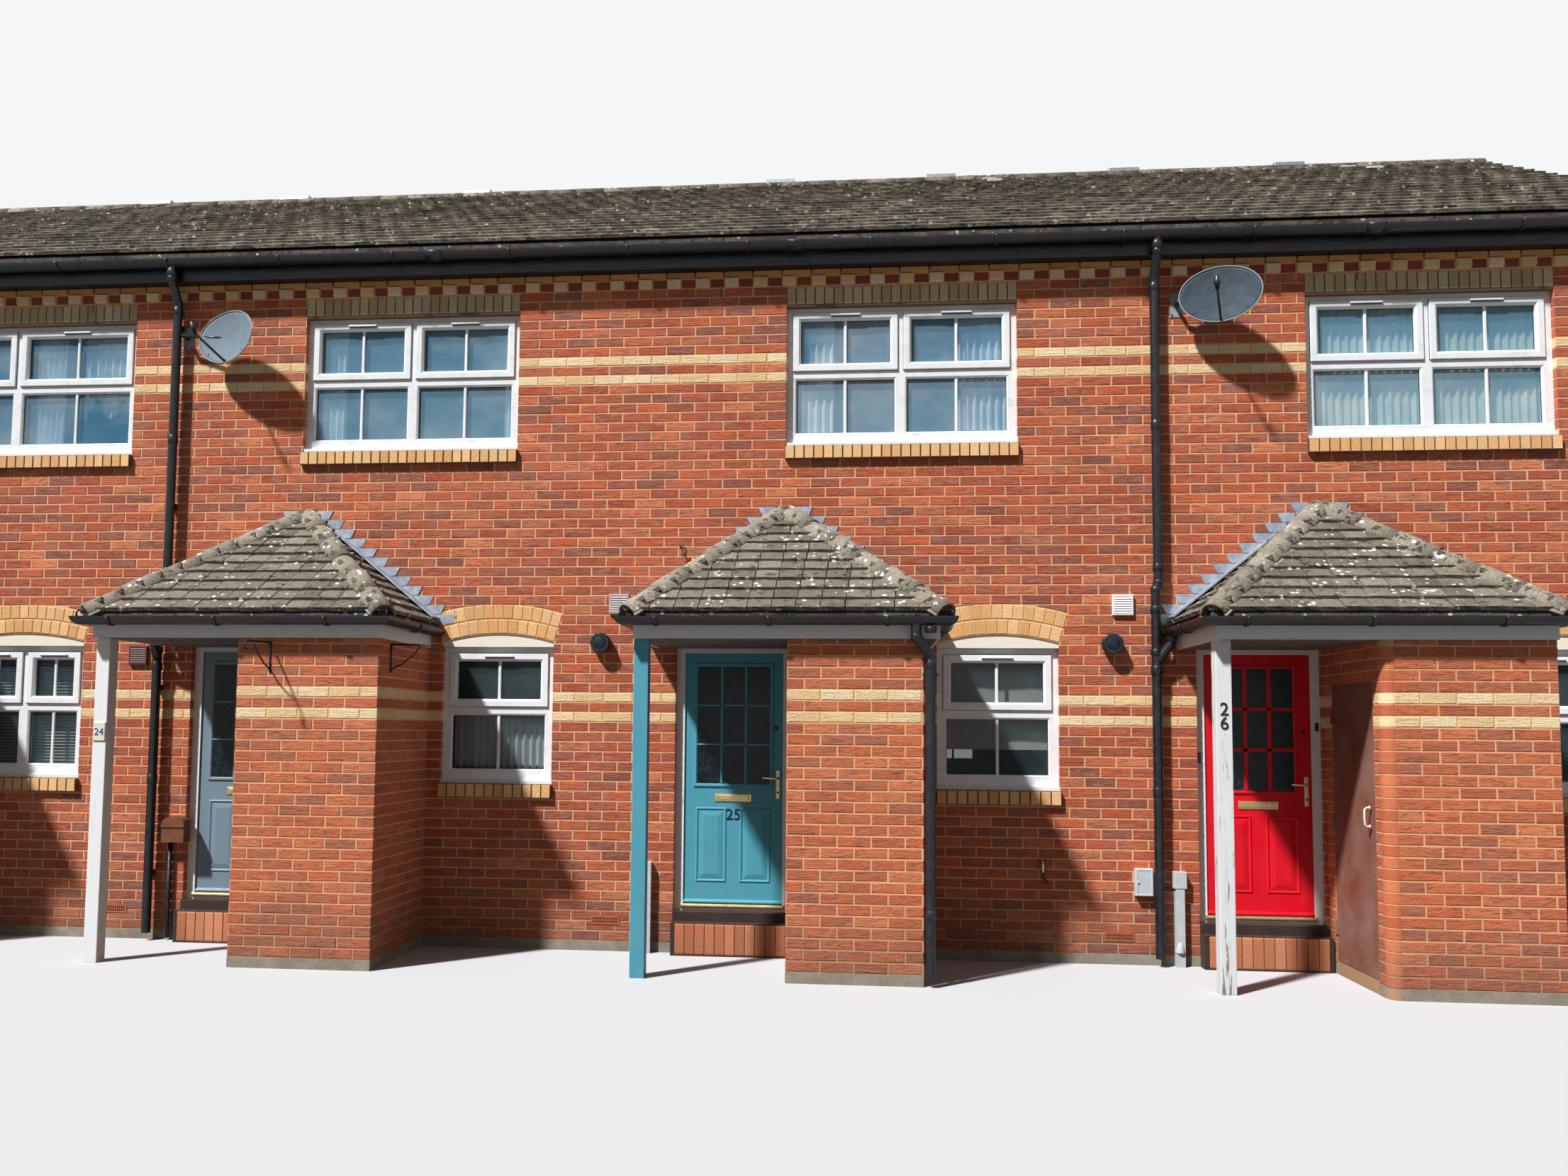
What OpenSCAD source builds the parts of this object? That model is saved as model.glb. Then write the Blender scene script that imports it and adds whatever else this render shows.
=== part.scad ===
// Row of four two-storey brick terraced houses with hipped porches and brick stores.
// Lengths in millimetres. X runs along the row, -Y is the street side, Z is up from the ground.
// Lists of four values run from the left-hand house to the right-hand house.

/* [Row] */
// Widths of the houses between party lines
house_widths = [4050, 3825, 3825, 3825]; // [3700:25:4500]
// Depth of the houses over the outer walls
house_depth = 6000; // [5000:50:8000]
// Thickness of the front and back cavity walls
outer_wall_t = 300; // [250:5:400]
// Thickness of the party walls, also at both ends of the row
party_wall_t = 215; // [200:5:300]

/* [Levels] */
// Top of the ground floor above the ground outside
ground_floor_z = 330; // [280:5:350]
// Thickness of the ground floor slab
ground_floor_t = 150; // [100:5:180]
// Top of the first floor
first_floor_z = 2900; // [2850:5:3000]
// Thickness of the first floor with its ceiling
first_floor_t = 250; // [200:5:300]
// Underside of the roof slope at the face of the front wall
eaves_z = 5352; // [5330:1:5370]

/* [Doorways] */
// Distances of the front doorways from the left-hand party line of each house
door_offsets = [250, 195, 252, 276]; // [180:1:300]
// Width of the doorways
doorway_w = 885; // [860:5:890]
// Height of the door heads above the ground
doorway_top = 2325; // [2250:5:2325]
// Top of the brick step
step_z = 240; // [150:5:260]
// Distance that the step stands out of the wall
step_out = 120; // [60:5:200]
// Thickness of the door sill
door_sill_t = 70; // [40:5:80]
// Distance that the door sill stands out of the wall
door_sill_out = 30; // [10:5:50]
// Distance of the door and window frames behind the face of the wall
frame_recess = 50; // [30:5:80]
// Width of the door frame's bars
door_frame_w = 55; // [40:1:60]
// Height of the threshold
threshold_h = 50; // [20:5:60]
// Width and depth of the stop that the door closes against
door_stop = [12, 7]; // [5:1:20]
// Thickness of the front doors
door_t = 44; // [35:1:50]
// Running gap round the doors
door_gap = 6; // [5:1:10]
// Radius of the hinge barrels
hinge_r = 7; // [5:1:9]
// Gap between a hinge barrel and the frame that it turns against
hinge_gap = 0.3; // [0.2:0.1:0.6]

/* [Windows] */
// Distances of the upper windows from the left-hand party line of each house
upper_offsets = [1577, 1050, 1080, 1101]; // [900:5:1700]
// Widths of the upper windows
upper_widths = [2088, 1752, 1750, 1749]; // [1500:5:2150]
// Bottom of the upper window openings
upper_sill_z = 3845; // [3700:5:3950]
// Head of the upper window openings
upper_head_z = 4948; // [4850:1:5050]
// Distances of the lower windows from the left-hand party line of each house
lower_offsets = [2285, 2242, 2220, 2290]; // [2200:1:2350]
// Widths of the lower windows
lower_widths = [1048, 882, 900, 900]; // [800:2:1100]
// Bottom of the lower window openings
lower_sill_z = 1243; // [1100:1:1400]
// Springing line of the arches over the lower windows
arch_spring_z = 2335; // [2325:1:2400]
// Rise of the arches
arch_rise = 65; // [40:1:120]
// Bottom of the straight board under the arches
arch_board_z = 2300; // [2250:1:2320]
// Thickness of the board under the arches
arch_board_t = 30; // [15:1:40]
// Distance of their faces behind the wall's face
arch_board_recess = 8; // [2:1:15]
// Height of the brick-on-edge sills
sill_brick_h = 103; // [65:1:110]
// Distance that the sills stand out of the wall
sill_out = 35; // [20:1:60]
// Depth of the window frames
window_frame_d = 70; // [60:1:90]
// Width of the window frames' outer bars
window_frame_w = 62; // [50:1:80]
// Width of the mullions and transoms
window_bar_w = 66; // [50:1:80]
// Height of the window frames' bottom bars
window_foot_h = 100; // [60:1:120]
// Shares of the upper and lower windows' heights above the middle of their transoms
top_light_shares = [0.48, 0.458]; // [0.3:0.002:0.5]
// Thickness of the double glazing
glass_t = 24; // [20:1:28]

/* [Back wall] */
// Distances of the back doors from the left-hand party line of each house
back_door_offset = 420; // [250:5:600]
// Width of the back windows on both storeys
back_window_w = 1200; // [900:10:1400]
// Distance of the back windows from the left-hand party line
back_window_offset = 1900; // [1600:10:2200]

/* [Roof] */
// Rise of the roof slopes for each metre of run
roof_rise = 573; // [500:1:700]
// Thickness of the roof slopes, from the tiles to the rafters' underside, measured upright
roof_t = 178; // [120:1:220]
// Thickness of the tiles alone, where they run out over the gutters
tile_layer_t = 45; // [30:1:60]
// Distance of the roof's lower edges from the walls
roof_eaves_out = 175; // [150:1:200]
// Distance that the roof stands out past the end walls
verge_out = 50; // [20:5:100]
// Radius of the half-round ridge
ridge_r = 95; // [70:1:120]
// Thickness of the ridge tiles
ridge_t = 14; // [10:1:20]
// Gap between the ridge tiles' lower edges and the roof slopes
ridge_bed = 0.3; // [0.2:0.1:10]
// Distance of the fascia's face from the wall
fascia_out = 120; // [90:1:130]
// Bottom of the fascia
fascia_z = 5221; // [5200:1:5240]

/* [Rainwater goods] */
// Outer radius of the half-round gutters
gutter_r = 57; // [45:1:60]
// Height of the lips of the main gutters
gutter_z = 5374; // [5350:1:5380]
// Thickness of the gutters
gutter_t = 4; // [3:1:6]
// Gap between the gutters and the fascias
gutter_gap = 0.3; // [0.2:0.1:0.6]
// Outer diameter of the downpipes
pipe_d = 68; // [50:1:80]
// Gap between the main downpipes and the walls
pipe_gap = 36; // [20:1:50]
// Depths of the two bends of their swan necks below the gutters
main_neck = [90, 260]; // [60:10:300]
// Width and height of the clips that hold the downpipes to the walls
clip_w = 40; // [20:1:60]
// Heights of the clips of the main downpipes above their step
clips_above = [3400, 4850]; // [3000:50:4900]
// Heights of the clips below it
clips_below = [500, 1950]; // [200:50:2100]
// Extra diameter of the sockets at the downpipes' bends
bend_more = 8; // [4:1:20]
// Distances that the two main downpipes step left above the porch gutters
pipe_steps = [55, 20]; // [10:1:60]
// Height at which they step
pipe_step_z = 2780; // [2600:10:2850]
// Height of the downpipes' feet above the ground
pipe_foot_z = 60; // [0:5:150]

/* [Stores] */
// Distances of the stores from the front doorways beside them
store_gaps = [27, 29, 25, 14]; // [5:1:60]
// Widths of the stores
store_widths = [909, 1025, 909, 1068]; // [850:1:1090]
// Depth of the stores in front of the wall
store_depth = 1000; // [950:5:1050]
// Thickness of the store walls
store_wall_t = 102; // [90:1:120]
// Radius of the rounded corner of the right-hand store
store_corner_r = 70; // [20:5:100]
// Width of the store doorways along the side
store_door_w = 700; // [600:5:720]
// Distance of the store doorways from the wall of the house
store_door_offset = 140; // [135:5:160]
// Thickness of the store doors
store_door_t = 40; // [35:1:50]

/* [Porches] */
// Distances of the porches' left-hand faces from the left-hand party line of each house
porch_offsets = [100, 40, 109, 140]; // [30:1:200]
// Distances that the porches reach past the stores on their right
porch_overs = [109, 15, 111, 2]; // [0:1:150]
// Places of the porch roofs' tops as shares of those widths
porch_tops = [0.5, 0.51, 0.47, 0.49]; // [0.4:0.01:0.6]
// Distance that the porch fascias stand in front of the stores
porch_out = 32; // [25:1:100]
// Underside of the porch ceilings
porch_ceiling_z = 2290; // [2250:1:2300]
// Thickness of the porch ceilings
porch_ceiling_t = 12; // [9:1:20]
// Height of the porch fascias
porch_fascia_h = 150; // [120:5:180]
// Thickness of the porch fascias
board_t = 20; // [12:1:25]
// Distance that the tiles stand out past the porch fascias
porch_tile_out = 45; // [20:5:60]
// Height of the porch roofs over their eaves
porch_rise = 870; // [700:1:1000]
// Thickness of the porch roofs, measured upright
porch_roof_t = 120; // [80:5:160]
// Width of the square porch posts
post_w = 98; // [80:1:120]
// Height of the porch tiles' edges above the gutters' lips
porch_gutter_drop = 8; // [5:1:30]
// Thickness of the porch tiles' edges
porch_edge_t = 20; // [10:1:30]
// Distances of the left-hand porch gutters' ends from the wall
porch_gutter_stops = [0.3, 125, 0.3, 0.3]; // [0.3:0.1:130]
// Houses whose porches have a downpipe of their own, counted from 0 at the left
piped_porches = [0, 2]; // [0:1:3]
// Distance of the porch gutters' outlets from the stores' right-hand faces
porch_outlet = 52; // [40:1:60]
// Distance of the porch downpipes' centres to the right of those faces
porch_pipe_side = 46; // [44:1:60]
// Distance of their centres in front of the stores
porch_pipe_out = 10; // [0:1:20]
// Depths of the two bends of their swan necks below the gutters
porch_neck = [75, 200]; // [60:5:250]
// Heights of their clips
porch_clips = [300, 2050]; // [200:50:2100]

/* [Fittings] */
// Width and height of the two oval satellite dishes
dish_size = [575, 430]; // [400:5:700]
// Places of the dishes' middles: distance along from the party line, and height
dish_places = [[519, 4723], [444, 4873]]; // [300:1:5000]
// Places of their wall brackets
dish_mounts = [[64, 4789], [170, 4873]]; // [50:1:5000]
// Width, thickness and height of the brackets' wall plates
dish_foot = [80, 8, 180]; // [5:1:200]
// Distance of the dishes from the wall
dish_out = 200; // [180:5:300]
// Angle that the dishes face to the left of the street
dish_turn = 20; // [0:1:30]
// Angle that they look up
dish_tilt = 6; // [0:1:30]
// Depth of the bowl of a dish
dish_bowl = 50; // [30:1:70]
// Distance of the receiver in front of the dish
dish_focus = 320; // [250:5:400]
// Height that its arm rises on the way there
dish_arm_rise = 105; // [0:5:200]
// Diameter of the flue terminals
flue_d = 140; // [90:5:180]
// Distance of the flue terminals from the party line on their right
flue_side = 326; // [250:1:400]
// Distance that the flue terminals stand out of the wall
flue_out = 90; // [40:5:150]
// Height of the flue terminals
flue_z = 2328; // [2200:1:2400]
// Width of the square wall vents
wall_vent_w = 150; // [100:5:200]
// Thickness of the wall vents
wall_vent_t = 22; // [10:1:40]
// Places of the wall vents: party line, distance from it, and height
wall_vents_at = [[1, -245, 2224], [2, -193, 2631], [3, -244, 2619]]; // [-400:1:3000]
// Size of the meter box
meter_box = [125, 55, 195]; // [40:1:300]
// Place of the meter box from the party line, and its height
meter_box_at = [-185, 501]; // [-300:1:600]
// Places of the pipe covers: party line, and distance from it
pipe_covers_at = [[2, 28], [3, 95]]; // [2:1:130]
// Size of the pipe covers
pipe_cover = [62, 60, 675]; // [40:1:800]

/* [Hidden] */
$fn = 48;

last_house = len(house_widths) - 1;
houses = [0 : last_house];
cut = 1;
function sum_before(values, i) = i < 1 ? 0 : values[round(i) - 1] + sum_before(values, round(i) - 1);
row_l = sum_before(house_widths, len(house_widths));
function party_x(i) = sum_before(house_widths, i) - row_l / 2;

gutter_y = fascia_out + gutter_gap + gutter_r;
porch_depth = store_depth + porch_out;
porch_gutter_y = porch_depth + gutter_gap + gutter_r;
front_reach = porch_gutter_y + gutter_r;
back_reach = gutter_y + gutter_r;
front_y = front_reach - (front_reach + house_depth + back_reach) / 2;

ridge_y = house_depth / 2;
slope = roof_rise / 1000;
function under_roof(y) = eaves_z + slope * min(y, house_depth - y);
function under_tiles(y) = under_roof(y) + roof_t - tile_layer_t;

function door_x(i) = party_x(i) + door_offsets[i];
function store_x(i) = door_x(i) + doorway_w + store_gaps[i];
function store_end(i) = store_x(i) + store_widths[i];
function porch_x(i) = party_x(i) + porch_offsets[i];
function porch_end(i) = store_end(i) + porch_overs[i];
function upper_x(i) = party_x(i) + upper_offsets[i];
function lower_x(i) = party_x(i) + lower_offsets[i];
function back_door_x(i) = party_x(i) + back_door_offset;
function back_window_x(i) = party_x(i) + back_window_offset;

sill_top = step_z + door_sill_t;
door_z = sill_top + threshold_h + door_gap;
door_h = doorway_top - door_frame_w - door_gap - door_z;
door_w = doorway_w - 2 * door_frame_w - 2 * door_gap;
door_y = frame_recess + door_stop[1] + door_gap;
door_frame_d = door_stop[1] + door_gap + door_t;
barrel_out = hinge_r + hinge_gap;
barrel_side = door_gap / 2;
barrel_h = 100;
leaf_t = 4;
leaf_w = 30;
dish_r = (dish_size.x * dish_size.x / 4 + dish_bowl * dish_bowl) / (2 * dish_bowl);
dish_t = 4;
dish_plate = 25;
dish_arm_d = 30;
low_edge = 14 - dish_size.y / 2;
low_z = dish_r - sqrt(dish_r * dish_r - low_edge * low_edge);
function arch_r(w) = (w * w / 4 + arch_rise * arch_rise) / (2 * arch_rise);
two_light_w = 1000;
upper_h = upper_head_z - upper_sill_z;
lower_h = arch_board_z - lower_sill_z;
back_lower_h = doorway_top - lower_sill_z;
store_door_z = 90;
store_door_h = 1950;

// Puts a shape drawn from the face of the front wall into its place in the row
module place() translate([0, front_y, 0]) children();

// A block given by its lowest and highest corners
module block(low, high) translate(low) cube(high - low);

// A profile drawn with the distance from the wall and the height, run along the row
module run_along(x0, x1) translate([x0, 0, 0])
    rotate([90, 0, 90]) linear_extrude(x1 - x0) children();

// A profile drawn along the row and upwards, run into the wall
module run_into(y0, y1) translate([0, y1, 0])
    rotate([90, 0, 0]) linear_extrude(y1 - y0) children();

// A round bar between two points
module bar(p, q, d) {
    v = q - p;
    translate(p) rotate([0, acos(v.z / norm(v)), atan2(v.y, v.x)]) cylinder(h = norm(v), d = d);
}

// A pipe through a list of points, with a round socket at each bend
module pipe(points, d) {
    for (i = [0 : len(points) - 2]) bar(points[i], points[i + 1], d);
    for (i = [1 : len(points) - 2]) translate(points[i]) sphere(d = d + bend_more);
}

module wall_profile(z0) polygon([[0, z0], [outer_wall_t, z0],
    [outer_wall_t, under_roof(outer_wall_t)], [0, under_roof(0)]]);

module arch_cut(x, w, y0, y1) {
    block([x, y0, lower_sill_z], [x + w, y1, arch_spring_z]);
    intersection() {
        block([x, y0, arch_spring_z - cut], [x + w, y1, arch_spring_z + arch_rise + cut]);
        translate([x + w / 2, y0, arch_spring_z + arch_rise - arch_r(w)])
            rotate([-90, 0, 0]) cylinder(h = y1 - y0, r = arch_r(w), $fn = 180);
    }
}

module lower_cuts() for (i = houses) arch_cut(lower_x(i), lower_widths[i], -cut, outer_wall_t + cut);

module upper_cuts() for (i = houses)
    block([upper_x(i), -cut, upper_sill_z],
        [upper_x(i) + upper_widths[i], outer_wall_t + cut, upper_head_z]);

// Wall pieces from the ground to the door heads, between the doorways that start at the given places
module piers(starts) {
    edges = concat([-row_l / 2 - doorway_w], starts, [row_l / 2]);
    for (i = [0 : len(edges) - 2])
        block([edges[i] + doorway_w, 0, 0], [edges[i + 1], outer_wall_t, doorway_top]);
}

module sills(x, w, z) block([x - 4, -sill_out, z - sill_brick_h], [x + w + 4, frame_recess, z]);

module sill_cuts() {
    for (i = houses) {
        sills(upper_x(i), upper_widths[i], upper_sill_z);
        sills(lower_x(i), lower_widths[i], lower_sill_z);
    }
}

module front_wall_ground() color("#b5573a") place() difference() {
    piers([for (i = houses) door_x(i)]);
    lower_cuts();
    sill_cuts();
}

module front_wall_upper() color("#b5573a") place() difference() {
    run_along(-row_l / 2, row_l / 2) wall_profile(doorway_top);
    lower_cuts();
    upper_cuts();
    sill_cuts();
}

// Turns what is drawn for the front to face the back
module at_back() translate([0, house_depth, 0]) mirror([0, 1, 0]) children();

module back_cuts(z0, z1) for (i = houses)
    block([back_window_x(i), -cut, z0], [back_window_x(i) + back_window_w, outer_wall_t + cut, z1]);

module back_sills() for (i = houses, z = [lower_sill_z, upper_sill_z])
    sills(back_window_x(i), back_window_w, z);

module back_wall_ground() color("#b5573a") place() at_back() difference() {
    piers([for (i = houses) back_door_x(i)]);
    back_cuts(lower_sill_z, doorway_top + cut);
    back_sills();
}

module back_wall_upper() color("#b5573a") place() at_back() difference() {
    run_along(-row_l / 2, row_l / 2) wall_profile(doorway_top);
    back_cuts(upper_sill_z, upper_head_z);
    back_sills();
}

module cross_wall(x0, x1) run_along(x0, x1) polygon([[outer_wall_t, 0], [house_depth - outer_wall_t, 0],
    [house_depth - outer_wall_t, under_roof(house_depth - outer_wall_t)],
    [ridge_y, under_roof(ridge_y)], [outer_wall_t, under_roof(outer_wall_t)]]);

module end_wall_left() color("#a85236") place() cross_wall(-row_l / 2, party_wall_t - row_l / 2);

module end_wall_right() color("#a85236") place() cross_wall(row_l / 2 - party_wall_t, row_l / 2);

module party_walls() color("#a89a8a") place() for (i = [1 : last_house])
    cross_wall(party_x(i) - party_wall_t / 2, party_x(i) + party_wall_t / 2);

// A floor plate in each house, from wall to wall
module floor_plates(z, t) for (i = houses) {
    x0 = party_x(i) + (i == 0 ? party_wall_t : party_wall_t / 2);
    x1 = party_x(i + 1) - (i == last_house ? party_wall_t : party_wall_t / 2);
    block([x0, outer_wall_t, z - t], [x1, house_depth - outer_wall_t, z]);
}

module ground_floors() color("#9a968e") place() floor_plates(ground_floor_z, ground_floor_t);

module first_floors() color("#b08d62") place() floor_plates(first_floor_z, first_floor_t);

// One slope of the roof, from its lower edge to the ridge
module roof_slope() {
    low = -roof_eaves_out;
    run_along(-row_l / 2 - verge_out, row_l / 2 + verge_out) polygon([[low, under_tiles(low)],
        [0, under_tiles(0)], [0, under_roof(0)], [ridge_y, under_roof(ridge_y)],
        [ridge_y, under_roof(ridge_y) + roof_t], [low, under_roof(low) + roof_t]]);
}

module roof_front() color("#6f665c") place() roof_slope();

module roof_back() color("#6f665c") place() at_back() roof_slope();

module ridge() color("#6a6058") place() {
    top = under_roof(ridge_y) + roof_t;
    drop = ridge_r * slope;
    run_along(-row_l / 2 - verge_out, row_l / 2 + verge_out) difference() {
        translate([ridge_y, top - drop / 2]) circle(r = ridge_r);
        translate([ridge_y, top - drop / 2]) circle(r = ridge_r - ridge_t);
        translate([ridge_y, top + ridge_bed]) polygon([[0, 0], [2 * ridge_r, -2 * drop],
            [2 * ridge_r, -4 * ridge_r], [-2 * ridge_r, -4 * ridge_r], [-2 * ridge_r, -2 * drop]]);
    }
}

// Fascia and soffit under the lower edge of a roof slope
module eaves_board() run_along(-row_l / 2 - verge_out, row_l / 2 + verge_out)
    polygon([[-fascia_out, fascia_z], [0, fascia_z], [0, under_tiles(0)],
        [-fascia_out, under_tiles(-fascia_out)]]);

module eaves_boards() color("#1d1d1f") place() {
    eaves_board();
    at_back() eaves_board();
}

module gutter(x0, x1, y, z) {
    difference() {
        run_along(x0, x1) intersection() {
            translate([y, z]) circle(r = gutter_r);
            translate([y - gutter_r, z - gutter_r]) square([2 * gutter_r, gutter_r]);
        }
        run_along(x0 + gutter_t, x1 - gutter_t) intersection() {
            translate([y, z]) circle(r = gutter_r - gutter_t);
            translate([y - gutter_r, z - gutter_r]) square([2 * gutter_r, gutter_r + cut]);
        }
    }
}

module main_gutter() gutter(-row_l / 2 - verge_out, row_l / 2 + verge_out, -gutter_y, gutter_z);

module main_gutters() color("#232327") place() {
    main_gutter();
    at_back() main_gutter();
}

// Takes the gutter's round underside off the top of a pipe, so that the pipe ends against it
module under_gutter(x, y, z) difference() {
    children();
    run_along(x - pipe_d, x + pipe_d) translate([y, z]) circle(r = gutter_r + gutter_gap);
}

module pipe_clip(x, y, z) block([x - clip_w / 2, y, z], [x + clip_w / 2, 0, z + clip_w]);

// A downpipe with a swan neck from the gutter back to the wall and a step to the left lower down
module main_downpipe(x, step) {
    wall_y = -pipe_d / 2 - pipe_gap;
    under_z = gutter_z - gutter_r;
    step_end_z = pipe_step_z - 1.2 * step - 30;
    under_gutter(x, -gutter_y, gutter_z) pipe([[x, -gutter_y, gutter_z - gutter_r / 2],
        [x, -gutter_y, under_z - main_neck[0]], [x, wall_y, under_z - main_neck[1]],
        [x, wall_y, pipe_step_z], [x - step, wall_y, step_end_z], [x - step, wall_y, pipe_foot_z]],
        pipe_d);
    for (z = clips_above) pipe_clip(x, wall_y, z);
    for (z = clips_below) pipe_clip(x - step, wall_y, z);
}

module pipe_pair() for (k = [0, 1]) main_downpipe(party_x(2 * k + 1), pipe_steps[k]);

module main_downpipes() color("#232327") place() {
    pipe_pair();
    at_back() pipe_pair();
}

// A window frame with one transom, and a mullion between its columns of lights
module window_frame(x, w, z, h, columns, share) {
    transom_z = h * (1 - share) - window_bar_w / 2;
    light_w = (w - 2 * window_frame_w - (columns - 1) * window_bar_w) / columns;
    translate([x, frame_recess, z]) difference() {
        cube([w, window_frame_d, h]);
        for (i = [0 : columns - 1]) translate([window_frame_w + i * (light_w + window_bar_w), -cut, 0]) {
            translate([0, 0, window_foot_h])
                cube([light_w, window_frame_d + 2 * cut, transom_z - window_foot_h]);
            translate([0, 0, transom_z + window_bar_w])
                cube([light_w, window_frame_d + 2 * cut, h - window_frame_w - transom_z - window_bar_w]);
        }
    }
}

// The panes that fill the lights of such a frame
module window_glass(x, w, z, h, columns, share) {
    transom_z = h * (1 - share) - window_bar_w / 2;
    light_w = (w - 2 * window_frame_w - (columns - 1) * window_bar_w) / columns;
    translate([x, frame_recess + (window_frame_d - glass_t) / 2, z])
        for (i = [0 : columns - 1]) translate([window_frame_w + i * (light_w + window_bar_w), 0, 0]) {
            translate([0, 0, window_foot_h]) cube([light_w, glass_t, transom_z - window_foot_h]);
            translate([0, 0, transom_z + window_bar_w])
                cube([light_w, glass_t, h - window_frame_w - transom_z - window_bar_w]);
        }
}

function lower_columns(i) = lower_widths[i] > two_light_w ? 2 : 1;

module upper_windows() color("#eef0f2") place() for (i = houses)
    window_frame(upper_x(i), upper_widths[i], upper_sill_z, upper_h, 2, top_light_shares[0]);

module upper_glass() color("#50626e") place() for (i = houses)
    window_glass(upper_x(i), upper_widths[i], upper_sill_z, upper_h, 2, top_light_shares[0]);

module lower_windows() color("#eef0f2") place() for (i = houses)
    window_frame(lower_x(i), lower_widths[i], lower_sill_z, lower_h, lower_columns(i),
        top_light_shares[1]);

module lower_glass() color("#50626e") place() for (i = houses)
    window_glass(lower_x(i), lower_widths[i], lower_sill_z, lower_h, lower_columns(i),
        top_light_shares[1]);

module back_windows() color("#eef0f2") place() at_back() for (i = houses) {
    window_frame(back_window_x(i), back_window_w, upper_sill_z, upper_h, 2, top_light_shares[0]);
    window_frame(back_window_x(i), back_window_w, lower_sill_z, back_lower_h, 2, top_light_shares[1]);
}

module back_glass() color("#50626e") place() at_back() for (i = houses) {
    window_glass(back_window_x(i), back_window_w, upper_sill_z, upper_h, 2, top_light_shares[0]);
    window_glass(back_window_x(i), back_window_w, lower_sill_z, back_lower_h, 2, top_light_shares[1]);
}

module window_sills() color("#cf9a5c") place() {
    sill_cuts();
    at_back() back_sills();
}

// The board between a lower window and the arch over it
module arch_boards() color("#ece4d2") place() for (i = houses) intersection() {
    arch_cut(lower_x(i), lower_widths[i], arch_board_recess, arch_board_recess + arch_board_t);
    block([lower_x(i), 0, arch_board_z],
        [lower_x(i) + lower_widths[i], outer_wall_t, arch_spring_z + arch_rise]);
}

// Brick step and tile sill in a doorway
module step_and_sill(x) {
    block([x, -step_out, 0], [x + doorway_w, outer_wall_t, step_z]);
    block([x, -door_sill_out, step_z], [x + doorway_w, outer_wall_t, sill_top]);
}

module door_steps() color("#8a5a48") place() {
    for (i = houses) step_and_sill(door_x(i));
    at_back() for (i = houses) step_and_sill(back_door_x(i));
}

module door_frame(x) {
    inner_w = doorway_w - 2 * door_frame_w;
    inner_h = doorway_top - door_frame_w - sill_top - threshold_h;
    translate([x, frame_recess, sill_top]) difference() {
        cube([doorway_w, door_frame_d, doorway_top - sill_top]);
        translate([door_frame_w + door_stop[0], -cut, threshold_h])
            cube([inner_w - 2 * door_stop[0], door_frame_d, inner_h - door_stop[0]]);
        translate([door_frame_w, door_stop[1], threshold_h]) cube([inner_w, door_frame_d, inner_h]);
    }
}

module door_frames() color("#e8e8e6") place() {
    for (i = houses) door_frame(door_x(i));
    at_back() for (i = houses) door_frame(back_door_x(i));
}

// Three hinges up a door that lies along X from the origin with the face they are fixed to at y = 0
module hinges(h) for (share = [0.12, 0.5, 0.88]) translate([0, 0, h * share - barrel_h / 2]) {
    translate([-barrel_side, barrel_out, 0]) cylinder(h = barrel_h, r = hinge_r);
    translate([-barrel_side, -cut, 0]) cube([leaf_w, hinge_r + cut, barrel_h]);
}

// A front door with its hinges on the inner left-hand edge
module front_door(i) translate([door_x(i) + door_frame_w + door_gap, door_y + door_t, door_z]) {
    translate([0, -door_t, 0]) cube([door_w, door_t, door_h]);
    hinges(door_h);
}

module door_23() color("#5b6b58") place() front_door(0);

module door_24() color("#9fb0ba") place() front_door(1);

module door_25() color("#1f6f8c") place() front_door(2);

module door_26() color("#a3202a") place() front_door(3);

module back_doors() color("#e8e8e6") place() at_back() for (i = houses)
    translate([back_door_x(i) + door_frame_w + door_gap, door_y + door_t, door_z]) {
        translate([0, -door_t, 0]) cube([door_w, door_t, door_h]);
        hinges(door_h);
    }

// The outline of a store on plan, with its left-hand front corner rounded
module store_plan(i, r) {
    x = store_x(i);
    union() {
        translate([x, r - store_depth]) square([store_widths[i], store_depth - r]);
        translate([x + r, -store_depth]) square([store_widths[i] - r, store_depth]);
        translate([x + r, r - store_depth]) circle(r = r);
    }
}

module store_walls() color("#bd5c3d") place() for (i = houses) difference() {
    r = i == last_house ? store_corner_r : 3;
    linear_extrude(porch_ceiling_z) store_plan(i, r);
    block([store_x(i) + store_wall_t, store_wall_t - store_depth, -cut],
        [store_end(i) - store_wall_t, cut, porch_ceiling_z + cut]);
    block([store_x(i) - cut, -store_door_offset - store_door_w, store_door_z],
        [store_x(i) + store_wall_t + cut, -store_door_offset, store_door_z + store_door_h]);
}

// A flush store door in the side of a store, hinged at the edge next to the house
module store_door(i) {
    h = store_door_h - 2 * door_gap;
    translate([store_x(i), -store_door_offset - door_gap, store_door_z + door_gap]) rotate([0, 0, -90])
        mirror([0, 1, 0]) {
            translate([0, -store_door_t, 0]) cube([store_door_w - 2 * door_gap, store_door_t, h]);
            hinges(h);
        }
}

module store_doors() color("#6b4434") place() for (i = [0 : last_house - 1]) store_door(i);

module store_door_26() color("#6b4434") place() store_door(last_house);

module porch_posts() color("#e3e4e2") place() for (i = houses)
    block([porch_x(i), -porch_depth + board_t + 30, 0],
        [porch_x(i) + post_w, -porch_depth + board_t + 30 + post_w, porch_ceiling_z]);

module porch_ceilings() color("#d8d8d4") place() for (i = houses)
    block([porch_x(i) + board_t, board_t - porch_depth, porch_ceiling_z],
        [porch_end(i) - board_t, 0, porch_ceiling_z + porch_ceiling_t]);

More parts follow.
